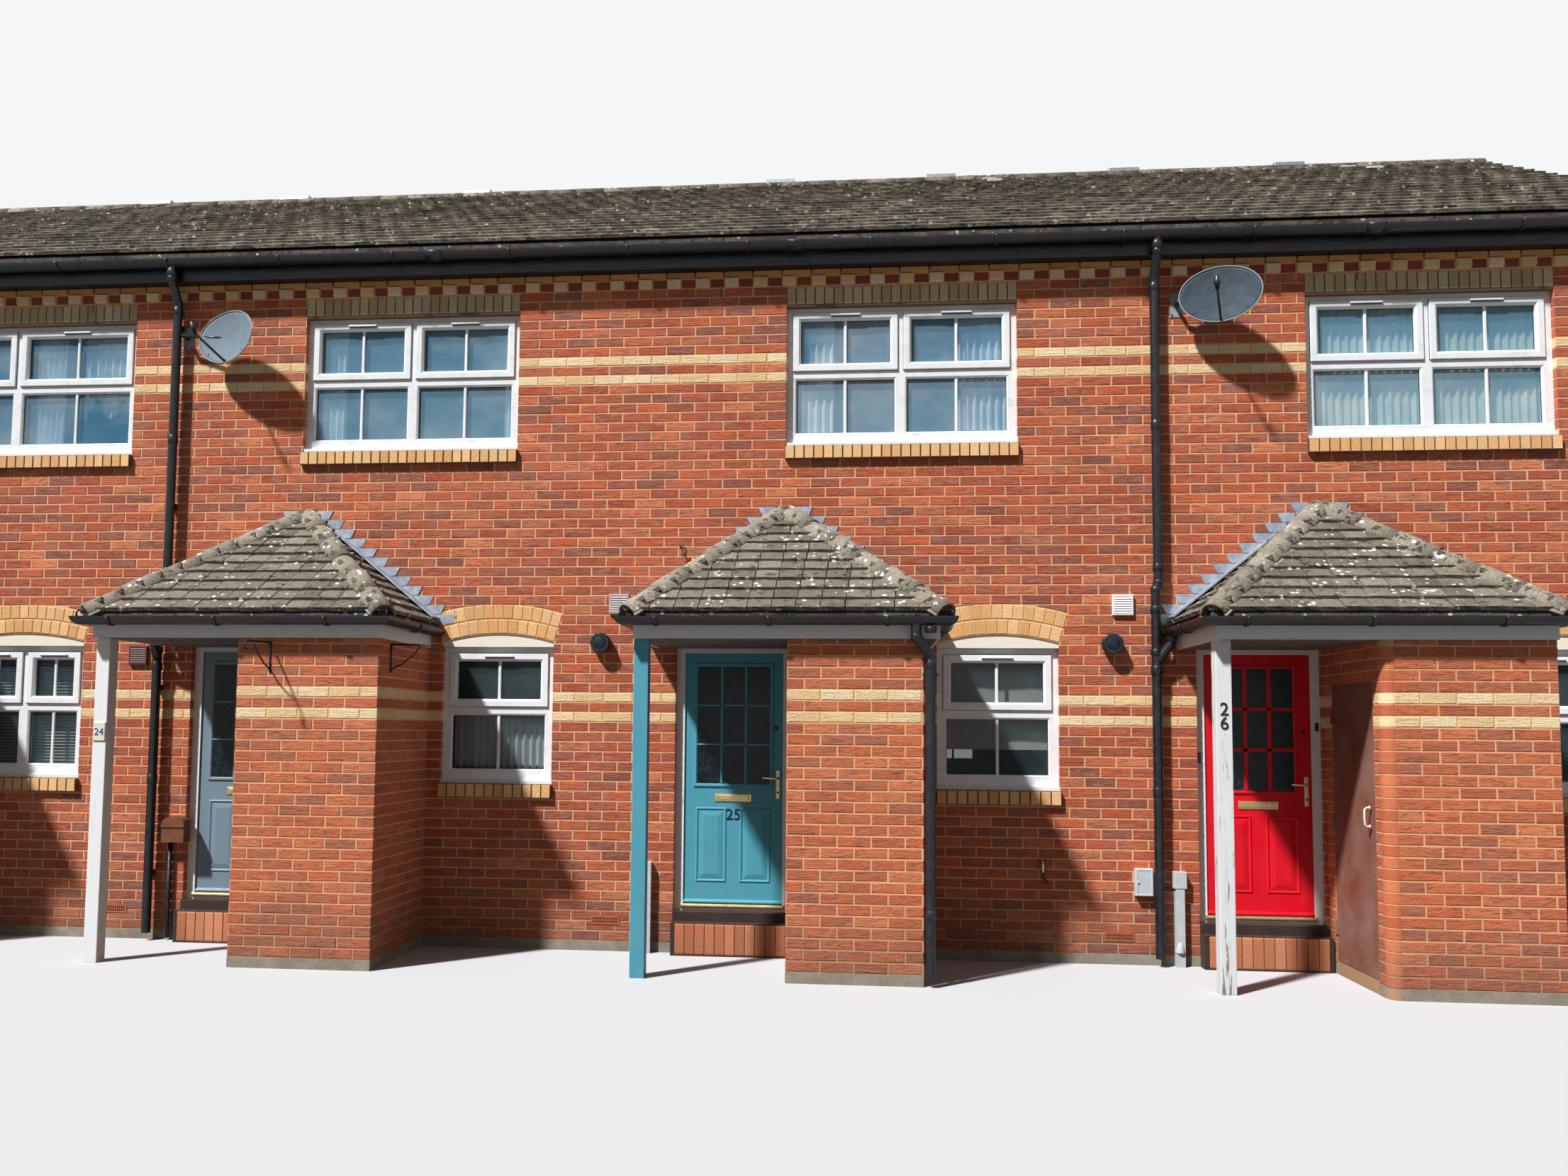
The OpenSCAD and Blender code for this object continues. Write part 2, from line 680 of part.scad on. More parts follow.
// Three boards round the porch eaves
module porch_fascias() color("#b9bcc0") place() for (i = houses) difference() {
    block([porch_x(i), -porch_depth, porch_ceiling_z],
        [porch_end(i), 0, porch_ceiling_z + porch_fascia_h]);
    block([porch_x(i) + board_t, board_t - porch_depth, porch_ceiling_z - cut],
        [porch_end(i) - board_t, cut, porch_ceiling_z + porch_fascia_h + cut]);
}

porch_eaves_z = porch_ceiling_z + porch_fascia_h;

// Half a pyramid against the wall with its top at x = xt, on an upright edge
module half_pyramid(x0, xt, x1, depth, rise) {
    z0 = porch_eaves_z;
    z1 = z0 + porch_edge_t;
    intersection() {
        run_along(x0, x1) polygon([[-depth, z0], [0, z0], [0, z1 + rise], [-depth, z1]]);
        run_into(-depth, 0) polygon([[x0, z0], [x1, z0], [x1, z1], [xt, z1 + rise], [x0, z1]]);
    }
}

module porch_roof(i) {
    x0 = porch_x(i) - porch_tile_out;
    x1 = porch_end(i) + porch_tile_out;
    xt = porch_x(i) + (porch_end(i) - porch_x(i)) * porch_tops[i];
    depth = porch_depth + porch_tile_out;
    inner = 1 - porch_roof_t / porch_rise;
    difference() {
        half_pyramid(x0, xt, x1, depth, porch_rise);
        translate([0, cut, -cut])
            half_pyramid(xt - inner * (xt - x0), xt, xt + inner * (x1 - xt), inner * depth,
                inner * porch_rise);
    }
}

module porch_roofs() color("#7b7368") place() for (i = houses) porch_roof(i);

porch_gutter_z = porch_eaves_z - porch_gutter_drop;

// Lower half of a circle about the gutter's line, a little higher where it cuts
module half_round(y, r, up) intersection() {
    translate([y, porch_gutter_z]) circle(r = r);
    translate([y - r, porch_gutter_z - r]) square([2 * r, r + up]);
}

module gutter_prism(points) translate([0, 0, porch_gutter_z - 2 * gutter_r])
    linear_extrude(4 * gutter_r) polygon(points);

// Half-round trough of a given radius round three sides of a porch, with mitred corners
module trough(i, r, up, end_t) {
    xl = porch_x(i) - gutter_gap - gutter_r;
    xr = porch_end(i) + gutter_gap + gutter_r;
    yf = -porch_gutter_y;
    intersection() {
        run_along(xl - r, xr + r) half_round(yf, r, up);
        gutter_prism([[xl - r, yf - r], [xr + r, yf - r], [xr - r, yf + r], [xl + r, yf + r]]);
    }
    for (side = [[xl, r, porch_gutter_stops[i]], [xr, -r, gutter_gap]]) intersection() {
        translate([side.x, 0, 0]) run_into(yf - r, -side.z - end_t) half_round(0, r, up);
        gutter_prism([[side.x - side.y, yf - r], [side.x + side.y, yf + r],
            [side.x + side.y, -side.z - end_t], [side.x - side.y, -side.z - end_t]]);
    }
}

module porch_gutters() color("#232327") place() for (i = houses) difference() {
    trough(i, gutter_r, 0, 0);
    trough(i, gutter_r - gutter_t, cut, gutter_t);
}

// From the porch gutter to the right-hand face of the store
module porch_downpipes() color("#232327") place() for (i = piped_porches) {
    x0 = store_end(i) - porch_outlet;
    x1 = store_end(i) + porch_pipe_side;
    y1 = -store_depth - porch_pipe_out;
    under_z = porch_gutter_z - gutter_r;
    under_gutter(x0, -porch_gutter_y, porch_gutter_z)
        pipe([[x0, -porch_gutter_y, porch_gutter_z - gutter_r / 2],
            [x0, -porch_gutter_y, under_z - porch_neck[0]], [x1, y1, under_z - porch_neck[1]],
            [x1, y1, pipe_foot_z]], pipe_d);
    for (z = porch_clips) block([store_end(i), -store_depth, z], [x1, y1 + pipe_d / 2, z + clip_w]);
}

// An oval dish on a bent arm, facing the street and a little to the left, with its receiver in front
module satellite_dish(mount, centre) {
    back = [centre.x + dish_plate, -dish_out + dish_plate, centre.y];
    translate([mount.x - dish_foot.x / 2, -dish_foot.y, mount.y - dish_foot.z / 2]) cube(dish_foot);
    bar([mount.x, -dish_foot.y / 2, mount.y], [mount.x, -dish_out / 2, mount.y], dish_arm_d);
    translate([mount.x, -dish_out / 2, mount.y]) sphere(d = dish_arm_d + bend_more);
    bar([mount.x, -dish_out / 2, mount.y], back, dish_arm_d);
    translate([centre.x, -dish_out, centre.y]) rotate([0, 0, -dish_turn]) rotate([90 - dish_tilt, 0, 0]) {
        intersection() {
            difference() {
                translate([0, 0, dish_r]) sphere(r = dish_r + dish_t, $fn = 108);
                translate([0, 0, dish_r]) sphere(r = dish_r, $fn = 108);
            }
            translate([0, 0, -dish_t]) linear_extrude(dish_bowl + dish_t)
                scale([1, dish_size.y / dish_size.x]) circle(d = dish_size.x, $fn = 72);
        }
        translate([0, 0, -dish_plate]) cylinder(h = dish_plate + dish_t / 2 - cut / 2, d = 90);
        bar([0, low_edge, low_z - dish_t], [0, low_edge + dish_arm_rise, dish_focus], dish_arm_d * 0.6);
        translate([0, low_edge + dish_arm_rise, dish_focus]) rotate([-60, 0, 0]) cylinder(h = 90, d = 46);
    }
}

module satellite_dishes() color("#9aa3a8") place() for (k = [0, 1]) {
    x = party_x(2 * k + 1);
    satellite_dish([x + dish_mounts[k][0], dish_mounts[k][1]], [x + dish_places[k][0], dish_places[k][1]]);
}

module wall_vents() color("#a9adb2") place() for (v = wall_vents_at)
    translate([party_x(v[0]) + v[1], 0, v[2]])
        block([-wall_vent_w / 2, -wall_vent_t, -wall_vent_w / 2], [wall_vent_w / 2, 0, wall_vent_w / 2]);

module flue_terminals() color("#1c1c1e") place() for (k = [2, 3])
    translate([party_x(k) - flue_side, -flue_out, flue_z]) rotate([-90, 0, 0])
        cylinder(h = flue_out, d = flue_d);

module meter_boxes() color("#d9d3c4") place() {
    translate([party_x(3) + meter_box_at[0], -meter_box.y, meter_box_at[1]]) cube(meter_box);
    for (c = pipe_covers_at) translate([party_x(c[0]) + c[1], -pipe_cover.y, 0]) cube(pipe_cover);
}

ground_floors();
first_floors();
front_wall_ground();
front_wall_upper();
back_wall_ground();
back_wall_upper();
end_wall_left();
end_wall_right();
party_walls();
roof_front();
roof_back();
ridge();
eaves_boards();
main_gutters();
main_downpipes();
upper_windows();
lower_windows();
back_windows();
upper_glass();
lower_glass();
back_glass();
window_sills();
arch_boards();
door_steps();
door_frames();
door_23();
door_24();
door_25();
door_26();
back_doors();
store_walls();
store_doors();
store_door_26();
porch_posts();
porch_ceilings();
porch_fascias();
porch_roofs();
porch_gutters();
porch_downpipes();
satellite_dishes();
wall_vents();
flue_terminals();
meter_boxes();
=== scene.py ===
import math
import random

import bmesh
import bpy
from mathutils import Matrix, Vector


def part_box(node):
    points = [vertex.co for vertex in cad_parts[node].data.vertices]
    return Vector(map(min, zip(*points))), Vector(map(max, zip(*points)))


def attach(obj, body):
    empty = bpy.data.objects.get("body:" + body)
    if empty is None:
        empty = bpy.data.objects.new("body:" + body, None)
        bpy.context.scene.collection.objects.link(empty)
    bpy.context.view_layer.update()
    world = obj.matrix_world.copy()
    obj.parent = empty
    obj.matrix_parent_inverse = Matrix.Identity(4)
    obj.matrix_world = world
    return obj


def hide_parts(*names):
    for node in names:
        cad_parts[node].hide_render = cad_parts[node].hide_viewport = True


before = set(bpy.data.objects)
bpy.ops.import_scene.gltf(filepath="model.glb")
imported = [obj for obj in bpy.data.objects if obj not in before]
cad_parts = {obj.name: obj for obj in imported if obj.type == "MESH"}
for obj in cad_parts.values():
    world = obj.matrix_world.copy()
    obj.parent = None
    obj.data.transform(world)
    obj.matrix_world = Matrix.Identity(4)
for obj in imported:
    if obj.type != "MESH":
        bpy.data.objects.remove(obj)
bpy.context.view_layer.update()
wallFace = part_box("front_wall_upper")[0].y

# Everything below is in millimetres: x along the row, y from the face of the front wall
# (minus is towards the street), z up from the ground.
rowPlan = {
    "firstNumber": 23,
    "partyLines": (-7762.5, -3712.5, 112.5, 3937.5, 7762.5),
    "depth": 6000,
    "wallTop": 5175,
    "gableFoot": 5352,
    "roofSlope": 0.573,
    "doorOffsets": (250, 195, 252, 276),
    "doorwayWidth": 885,
    "doorHead": 2325,
    "stepTop": 315,
    "backDoorOffset": 420,
    "backWindowOffset": 1900,
    "backWindowWidth": 1200,
    "storeOffsets": (1162, 1109, 1162, 1175),
    "storeWidths": (909, 1025, 909, 1068),
    "storeDepth": 1000,
    "storeTop": 2290,
    "storeCorners": (0, 0, 0, 70),
    "storeDoorWidth": 700,
    "storeDoorOffset": 140,
    "storeDoorFoot": 90,
    "storeDoorHeight": 1950,
}
windowPlan = {
    "upperOffsets": (1577, 1050, 1080, 1101),
    "upperWidths": (2088, 1752, 1750, 1749),
    "upperSill": 3845,
    "upperHead": 4948,
    "upperShare": 0.48,
    "upperSillCut": 95,
    "lowerOffsets": (2285, 2242, 2220, 2290),
    "lowerWidths": (1048, 882, 900, 900),
    "lowerSill": 1243,
    "lowerHead": 2300,
    "lowerShare": 0.458,
    "lowerSillCut": 103,
    "recess": 50,
    "edge": 62,
    "foot": 100,
    "bar": 66,
    "sashWidth": 60,
    "sashOverlap": 12,
    "sash": ((0, 0), (0, -11), (4, -15), (44, -15), (60, -2), (60, 24), (12, 24)),
    "fixedLight": ((0, 3), (3, 1), (14, 9), (14, 24), (0, 24)),
    "sashGapShade": ((0, 0), (0, -3), (3, -3), (3, 0)),
    "innerSeal": ((-1, 21), (5, 21), (5, 23.5), (-1, 23.5)),
    "glazingBar": ((-12, 22), (-12, 14), (-7, 10), (7, 10), (12, 14), (12, 22)),
    "cills": ((-42, 4, 1, 30), (-8, 2, 30, 38)),
}
houses = range(4)
houseDepth = rowPlan["depth"]
rowHalf = rowPlan["partyLines"][4]


def partyLine(i):
    return rowPlan["partyLines"][i]


# Left side and width of a window on the "upper" or "lower" floor of a house
def windowSpan(i, floor):
    return partyLine(i) + windowPlan[floor + "Offsets"][i], windowPlan[floor + "Widths"][i]


def doorwayAt(i):
    return partyLine(i) + rowPlan["doorOffsets"][i]


def storeEnds(i):
    x = partyLine(i) + rowPlan["storeOffsets"][i]
    return x, x + rowPlan["storeWidths"][i]


def wallPoint(point):
    return Vector((point[0] / 1000, point[1] / 1000 + wallFace, point[2] / 1000))


def colour(code):
    parts = [int(code[i:i + 2], 16) / 255 for i in (0, 2, 4)]
    linear = [c / 12.92 if c < 0.04045 else ((c + 0.055) / 1.055) ** 2.4 for c in parts]
    return tuple(linear) + (1.0,)


# Camera, light and floor
cameraPlan = {
    "place": (1759.0, -9203.7, 1662.2),
    "yaw": -5.515,
    "pitch": 3.939,
    "roll": 0.521,
    "focalPixels": 1719.8,
    "centre": (1046.9, 913.5),
    "image": (2212, 1659),
}


def placeCamera(plan):
    yaw, pitch, roll = (math.radians(plan[k]) for k in ("yaw", "pitch", "roll"))
    forward = Vector((math.sin(yaw) * math.cos(pitch), math.cos(yaw) * math.cos(pitch), math.sin(pitch)))
    level = Vector((math.cos(yaw), -math.sin(yaw), 0))
    lift = level.cross(forward)
    right = math.cos(roll) * level + math.sin(roll) * lift
    up = -math.sin(roll) * level + math.cos(roll) * lift
    data = bpy.data.cameras.new("camera")
    data.sensor_width = 36
    data.lens = 36 * plan["focalPixels"] / plan["image"][0]
    data.shift_x = (plan["image"][0] / 2 - plan["centre"][0]) / plan["image"][0]
    data.shift_y = (plan["centre"][1] - plan["image"][1] / 2) / plan["image"][0]
    data.clip_end = 500
    camera = bpy.data.objects.new("camera", data)
    axes = Matrix((right, up, -forward)).transposed().to_4x4()
    camera.matrix_world = Matrix.Translation(wallPoint(plan["place"])) @ axes
    bpy.context.collection.objects.link(camera)
    bpy.context.scene.camera = camera


lightPlan = {
    "sunTurn": (38, 0, -45),
    "sunStrength": 6.0,
    "sunSoftness": 3,
    "skyStrength": 0.11,
    "backdrop": "F4F6F8",
    "floorSeen": "BDBEC0",
    "floorBounce": "54514C",
}


def blendByRay(nodes, links, rays, lit, seen):
    path = nodes.new("ShaderNodeLightPath")
    total = path.outputs[rays[0]]
    for name in rays[1:]:
        both = nodes.new("ShaderNodeMath")
        both.use_clamp = True
        links.new(total, both.inputs[0])
        links.new(path.outputs[name], both.inputs[1])
        total = both.outputs[0]
    mix = nodes.new("ShaderNodeMixShader")
    links.new(total, mix.inputs[0])
    links.new(lit, mix.inputs[1])
    links.new(seen, mix.inputs[2])
    return mix.outputs[0]


def placeLight(plan):
    lamp = bpy.data.lights.new("key", "SUN")
    lamp.energy = plan["sunStrength"]
    lamp.angle = math.radians(plan["sunSoftness"])
    key = bpy.data.objects.new("key", lamp)
    key.rotation_euler = [math.radians(a) for a in plan["sunTurn"]]
    bpy.context.collection.objects.link(key)
    world = bpy.data.worlds.new("studio")
    world.use_nodes = True
    bpy.context.scene.world = world
    nodes, links = world.node_tree.nodes, world.node_tree.links
    sky = nodes["Background"]
    sky.inputs["Color"].default_value = (1, 1, 1, 1)
    sky.inputs["Strength"].default_value = plan["skyStrength"]
    shown = nodes.new("ShaderNodeBackground")
    shown.inputs["Color"].default_value = colour(plan["backdrop"])
    rays = ("Is Camera Ray", "Is Glossy Ray", "Is Transmission Ray")
    mixed = blendByRay(nodes, links, rays, sky.outputs[0], shown.outputs[0])
    links.new(mixed, nodes["World Output"].inputs["Surface"])
    mesh = bpy.data.meshes.new("floor")
    mesh.from_pydata([(-120, -120, 0), (120, -120, 0), (120, 120, 0), (-120, 120, 0)], [], [(0, 1, 2, 3)])
    floor = bpy.data.objects.new("floor", mesh)
    finish = bpy.data.materials.new("floorFinish")
    finish.use_nodes = True
    nodes, links = finish.node_tree.nodes, finish.node_tree.links
    bounce = nodes["Principled BSDF"]
    bounce.inputs["Base Color"].default_value = colour(plan["floorBounce"])
    bounce.inputs["Roughness"].default_value = 0.95
    pale = nodes.new("ShaderNodeBsdfDiffuse")
    pale.inputs["Color"].default_value = colour(plan["floorSeen"])
    mixed = blendByRay(nodes, links, rays[:2], bounce.outputs[0], pale.outputs[0])
    links.new(mixed, nodes["Material Output"].inputs["Surface"])
    mesh.materials.append(finish)
    bpy.context.collection.objects.link(floor)


placeCamera(cameraPlan)
placeLight(lightPlan)
bpy.context.scene.view_settings.view_transform = "Standard"
print("camera and light placed")


# Material building blocks
class Finish:
    def __init__(self, name, base, roughness, metallic=0.0, specular=0.5):
        self.material = bpy.data.materials.new(name)
        self.material.use_nodes = True
        self.nodes = self.material.node_tree.nodes
        self.links = self.material.node_tree.links
        self.shader = self.nodes["Principled BSDF"]
        self.shader.inputs["Base Color"].default_value = colour(base)
        self.shader.inputs["Roughness"].default_value = roughness
        self.shader.inputs["Metallic"].default_value = metallic
        self.shader.inputs["Specular IOR Level"].default_value = specular
        self.coords = self.nodes.new("ShaderNodeTexCoord").outputs["Object"]
        self.relief = None

    def noise(self, scale, detail=4.0, roughness=0.6, stretch=(1, 1, 1), shift=(0, 0, 0), distort=0.0):
        mapping = self.nodes.new("ShaderNodeMapping")
        mapping.inputs["Scale"].default_value = stretch
        mapping.inputs["Location"].default_value = shift
        texture = self.nodes.new("ShaderNodeTexNoise")
        texture.inputs["Scale"].default_value = scale
        texture.inputs["Detail"].default_value = detail
        texture.inputs["Roughness"].default_value = roughness
        texture.inputs["Distortion"].default_value = distort
        self.links.new(self.coords, mapping.inputs["Vector"])
        self.links.new(mapping.outputs[0], texture.inputs["Vector"])
        return texture.outputs["Fac"]

    def cells(self, scale):
        texture = self.nodes.new("ShaderNodeTexVoronoi")
        texture.inputs["Scale"].default_value = scale
        self.links.new(self.coords, texture.inputs["Vector"])
        return texture.outputs["Distance"]

    def levels(self, value, low, high, to=(0.0, 1.0)):
        node = self.nodes.new("ShaderNodeMapRange")
        self.links.new(value, node.inputs["Value"])
        for key, number in zip(("From Min", "From Max", "To Min", "To Max"), (low, high) + tuple(to)):
            node.inputs[key].default_value = number
        return node.outputs[0]

    def sums(self, kind, a, b):
        node = self.nodes.new("ShaderNodeMath")
        node.operation = kind
        for socket, value in zip(node.inputs, (a, b)):
            if isinstance(value, (int, float)):
                socket.default_value = value
            else:
                self.links.new(value, socket)
        return node.outputs[0]

    def mix(self, amount, a, b, kind="MIX"):
        node = self.nodes.new("ShaderNodeMix")
        node.data_type = "RGBA"
        node.blend_type = kind
        for socket, value in ((node.inputs[0], amount), (node.inputs[6], a), (node.inputs[7], b)):
            if isinstance(value, str):
                socket.default_value = colour(value)
            elif isinstance(value, (int, float)):
                socket.default_value = value
            else:
                self.links.new(value, socket)
        return node.outputs[2]

    def shade(self, base, factor):
        grey = self.nodes.new("ShaderNodeCombineColor")
        for k in range(3):
            self.links.new(factor, grey.inputs[k])
        return self.mix(1.0, base, grey.outputs[0], "MULTIPLY")

    def axis(self, name):
        node = self.nodes.new("ShaderNodeSeparateXYZ")
        self.links.new(self.coords, node.inputs[0])
        return node.outputs[name]

    def attribute(self, name, output):
        node = self.nodes.new("ShaderNodeAttribute")
        node.attribute_name = name
        return node.outputs[output]

    def paint(self, socket):
        self.links.new(socket, self.shader.inputs["Base Color"])

    # roughness that wanders between two levels
    def gloss(self, scale, low, high, stretch=(1, 1, 1)):
        uneven = self.levels(self.noise(scale, 3, 0.6, stretch), 0.3, 0.7, (low, high))
        self.links.new(uneven, self.shader.inputs["Roughness"])

    def bump(self, height, strength, distance):
        node = self.nodes.new("ShaderNodeBump")
        node.inputs["Strength"].default_value = strength
        node.inputs["Distance"].default_value = distance
        self.links.new(height, node.inputs["Height"])
        if self.relief:
            self.links.new(self.relief, node.inputs["Normal"])
        self.relief = node.outputs[0]
        self.links.new(self.relief, self.shader.inputs["Normal"])

    # darkening near the ground, with an uneven upper edge
    def grimyFoot(self, uneven, top, strength):
        edge = self.levels(self.noise(2.5, 3), 0, 1, (-uneven, uneven))
        return self.levels(self.sums("ADD", self.axis("Z"), edge), 0.05, top, (strength, 0.0))


# Fired clay, coloured brick by brick through the tint attribute; its alpha says how far a brick is flashed
def firedBrick(name, creased=1.0):
    f = Finish(name, "B9653F", 0.88)
    tint = f.attribute("tint", "Color")
    flash = f.attribute("tint", "Alpha")
    rustic = f.levels(flash, 0.0, 0.1, (0.25, 1.0))
    blotches = f.levels(f.noise(11, 4, 0.62, (1, 1, 1.7)), 0.44, 0.6)
    flashed = f.mix(f.sums("MULTIPLY", blotches, flash), tint, "A66C5C")
    grained = f.shade(flashed, f.levels(f.noise(75, 5, 0.75), 0.3, 0.7, (0.72, 1.26)))
    crease = f.noise(6, 5, 0.68, (1.3, 1.3, 8), distort=1.6)
    # dark and pale streaks along the creases: painted shade and painted highlight of the creases' relief,
    # over the bump below
    dark = f.sums("MULTIPLY", f.levels(crease, 0.36, 0.47, (0.62 * creased, 0.0)), rustic)
    light = f.sums("MULTIPLY", f.levels(crease, 0.55, 0.68, (0.0, 0.38 * creased)), rustic)
    creasesShadedAndLit = f.mix(light, f.mix(dark, grained, "683A31"), "DA9A73")
    stain = f.levels(f.noise(1.3, 5, 0.7, (1, 1, 0.45), (4, 0, 2)), 0.56, 0.74, (0.0, 0.3))
    stained = f.mix(stain, creasesShadedAndLit, "6E4A40")
    f.paint(f.mix(f.grimyFoot(0.35, 0.55, 0.4), stained, "6B5648"))
    f.bump(crease, 0.8 * creased, 0.012)
    f.bump(f.noise(140, 4, 0.7), 0.35, 0.003)
    return f.material


def mortarFinish(name, base, spreadTo, sandTo="93704E"):
    f = Finish(name, base, 0.95)
    spread = f.mix(f.levels(f.noise(3, 4), 0.3, 0.7), base, spreadTo)
    sand = f.mix(f.levels(f.noise(260, 2, 0.8), 0.35, 0.75, (0, 0.4)), spread, sandTo)
    f.paint(f.mix(f.grimyFoot(0.3, 0.5, 0.6), sand, "6E5E50"))
    f.bump(f.noise(220, 3, 0.8), 0.5, 0.003)
    return f.material


# Weathered concrete tile: pale lichen in flecks, and dark moss in patches
def tileFinish(name, lichenLevel, mossLevel, lichenColour="DDD8CA"):
    f = Finish(name, "6E665C", 0.92)
    tint = f.attribute("tint", "Color")
    broad = f.mix(f.levels(f.noise(2.2, 4), 0.3, 0.72, (0, 0.7)), tint, "8F8678")
    fine = f.mix(f.levels(f.noise(60, 5, 0.78), 0.42, 0.7, (0, 0.7)), broad, "3F3931")
    spots = f.levels(f.cells(17), 0.3, 0.22)
    where = f.levels(f.noise(6, 4, 0.7, shift=(3, 1, 2)), lichenLevel, lichenLevel + 0.06)
    lichen = f.mix(f.sums("MULTIPLY", spots, where), fine, lichenColour)
    rough = f.levels(f.noise(30, 5, 0.8, shift=(5, 0, 0)), lichenLevel + 0.1, lichenLevel + 0.15)
    patched = f.mix(f.sums("MULTIPLY", rough, 0.7), lichen, "B5AE9F")
    moss = f.levels(f.noise(14, 5, 0.78, shift=(0, 7, 0)), mossLevel, mossLevel + 0.05, (0, 0.92))
    f.paint(f.mix(moss, patched, "28221A"))
    f.bump(f.noise(60, 5, 0.8), 0.8, 0.008)
    f.bump(moss, 0.5, 0.006)
    return f.material


def leadFinish(name):
    f = Finish(name, "8F98A6", 0.55, 0.35)
    sheen = f.mix(f.levels(f.noise(9, 4), 0.35, 0.7), "8C96A6", "B9BFC6")
    f.paint(f.mix(f.levels(f.noise(45, 3), 0.5, 0.7, (0, 0.5)), sheen, "6D727B"))
    f.bump(f.noise(12, 3), 0.4, 0.01)
    return f.material


def blackPlastic(name):
    f = Finish(name, "1C1F25", 0.32, specular=0.35)
    dust = f.levels(f.noise(14, 4, 0.65), 0.45, 0.8, (0, 0.35))
    f.paint(f.mix(dust, "17191E", "4B4D50"))
    f.gloss(30, 0.26, 0.44)
    f.bump(f.noise(90, 2), 0.08, 0.002)
    return f.material


def blackBoard(name):
    f = Finish(name, "121418", 0.35, specular=0.3)
    worn = f.levels(f.noise(5, 5, 0.7, (0.4, 1, 5)), 0.56, 0.72, (0, 0.6))
    f.paint(f.mix(worn, "101216", "4A4F58"))
    f.gloss(20, 0.22, 0.5, (0.3, 1, 3))
    f.bump(f.noise(40, 3, 0.6, (0.15, 1, 2)), 0.25, 0.003)
    return f.material


# Paint on timber, with grain, grime and flaking down to what lies under it
def paintedWood(name, base, under, wear, grain, roughness, faded=0.5):
    f = Finish(name, base, roughness, specular=0.25)
    fade = f.levels(f.noise(3.5, 4), 0.3, 0.75, (0, faded))
    aged = f.mix(fade, base, f.mix(0.22, base, "FFFFFF"))
    flakes = f.levels(f.noise(24, 6, 0.72, grain), 0.72 - 0.2 * wear, 0.75 - 0.2 * wear)
    dirt = f.levels(f.noise(60, 4, 0.7, grain), 0.55, 0.8, (0, 0.35 * (0.3 + wear)))
    f.paint(f.mix(flakes, f.mix(dirt, aged, "5C5348"), under))
    f.gloss(30, roughness - 0.08, roughness + 0.14)
    f.bump(f.noise(70, 3, 0.6, grain), 0.2, 0.002)
    f.bump(flakes, -0.5 * wear, 0.001)
    return f.material


def whiteFrame(name):
    f = Finish(name, "EEF1F4", 0.32, specular=0.3)
    grime = f.levels(f.noise(11, 5, 0.7), 0.5, 0.8, (0, 0.5))
    f.paint(f.mix(grime, "EEF1F4", "B9BEC1"))
    f.gloss(20, 0.22, 0.4)
    f.bump(f.noise(160, 2), 0.05, 0.001)
    return f.material


# Double glazing: a painted reflection of the sky and clouds, over a room that shows faintly
def windowGlassPaintedSky(name, deep, pale, white):
    f = Finish(name, deep, 0.08, specular=0.2)
    paintedCloud = f.levels(f.noise(1.1, 5, 0.62, (1, 1, 1.5), (2, 0, 5)), 0.46, 0.7)
    high = f.levels(f.noise(0.45, 2, 0.5, shift=(9, 0, 1)), 0.35, 0.65)
    sky = f.mix(high, deep, pale)
    f.paint(f.mix(f.sums("MULTIPLY", paintedCloud, 0.6), sky, white))
    f.shader.inputs["Alpha"].default_value = 0.32
    f.bump(f.noise(1.6, 2), 0.05, 0.02)
    return f.material


def obscureGlass(name):
    f = Finish(name, "10181D", 0.2, specular=0.2)
    f.paint(f.mix(f.levels(f.noise(34, 4, 0.7), 0.45, 0.7), "0A1216", "26373F"))
    f.bump(f.noise(95, 3, 0.6), 0.6, 0.004)
    return f.material


def metalFinish(name, base, roughness, other):
    f = Finish(name, base, roughness, 0.9)
    f.paint(f.mix(f.levels(f.noise(40, 4), 0.4, 0.75), base, other))
    f.gloss(60, roughness - 0.08, roughness + 0.12)
    f.bump(f.noise(120, 2), 0.1, 0.001)
    return f.material


def plainPlastic(name, base, other, roughness=0.5):
    f = Finish(name, base, roughness, specular=0.25)
    f.paint(f.mix(f.levels(f.noise(18, 4), 0.4, 0.75, (0, 0.6)), base, other))
    f.bump(f.noise(120, 3), 0.12, 0.002)
    return f.material


def concreteFinish(name, base, other):
    f = Finish(name, base, 0.93)
    mottled = f.mix(f.levels(f.noise(6, 5), 0.3, 0.7), base, other)
    f.paint(f.mix(f.levels(f.noise(120, 3, 0.8), 0.5, 0.75, (0, 0.6)), mottled, "4F483F"))
    f.bump(f.noise(80, 5, 0.75), 0.6, 0.006)
    return f.material


def curtainFinish(name, base, other):
    f = Finish(name, base, 0.9)
    f.paint(f.mix(f.levels(f.noise(9, 3, 0.5, (3, 1, 0.4)), 0.4, 0.7), base, other))
    f.shader.inputs["Sheen Weight"].default_value = 0.2
    f.bump(f.noise(600, 2), 0.3, 0.001)
    return f.material


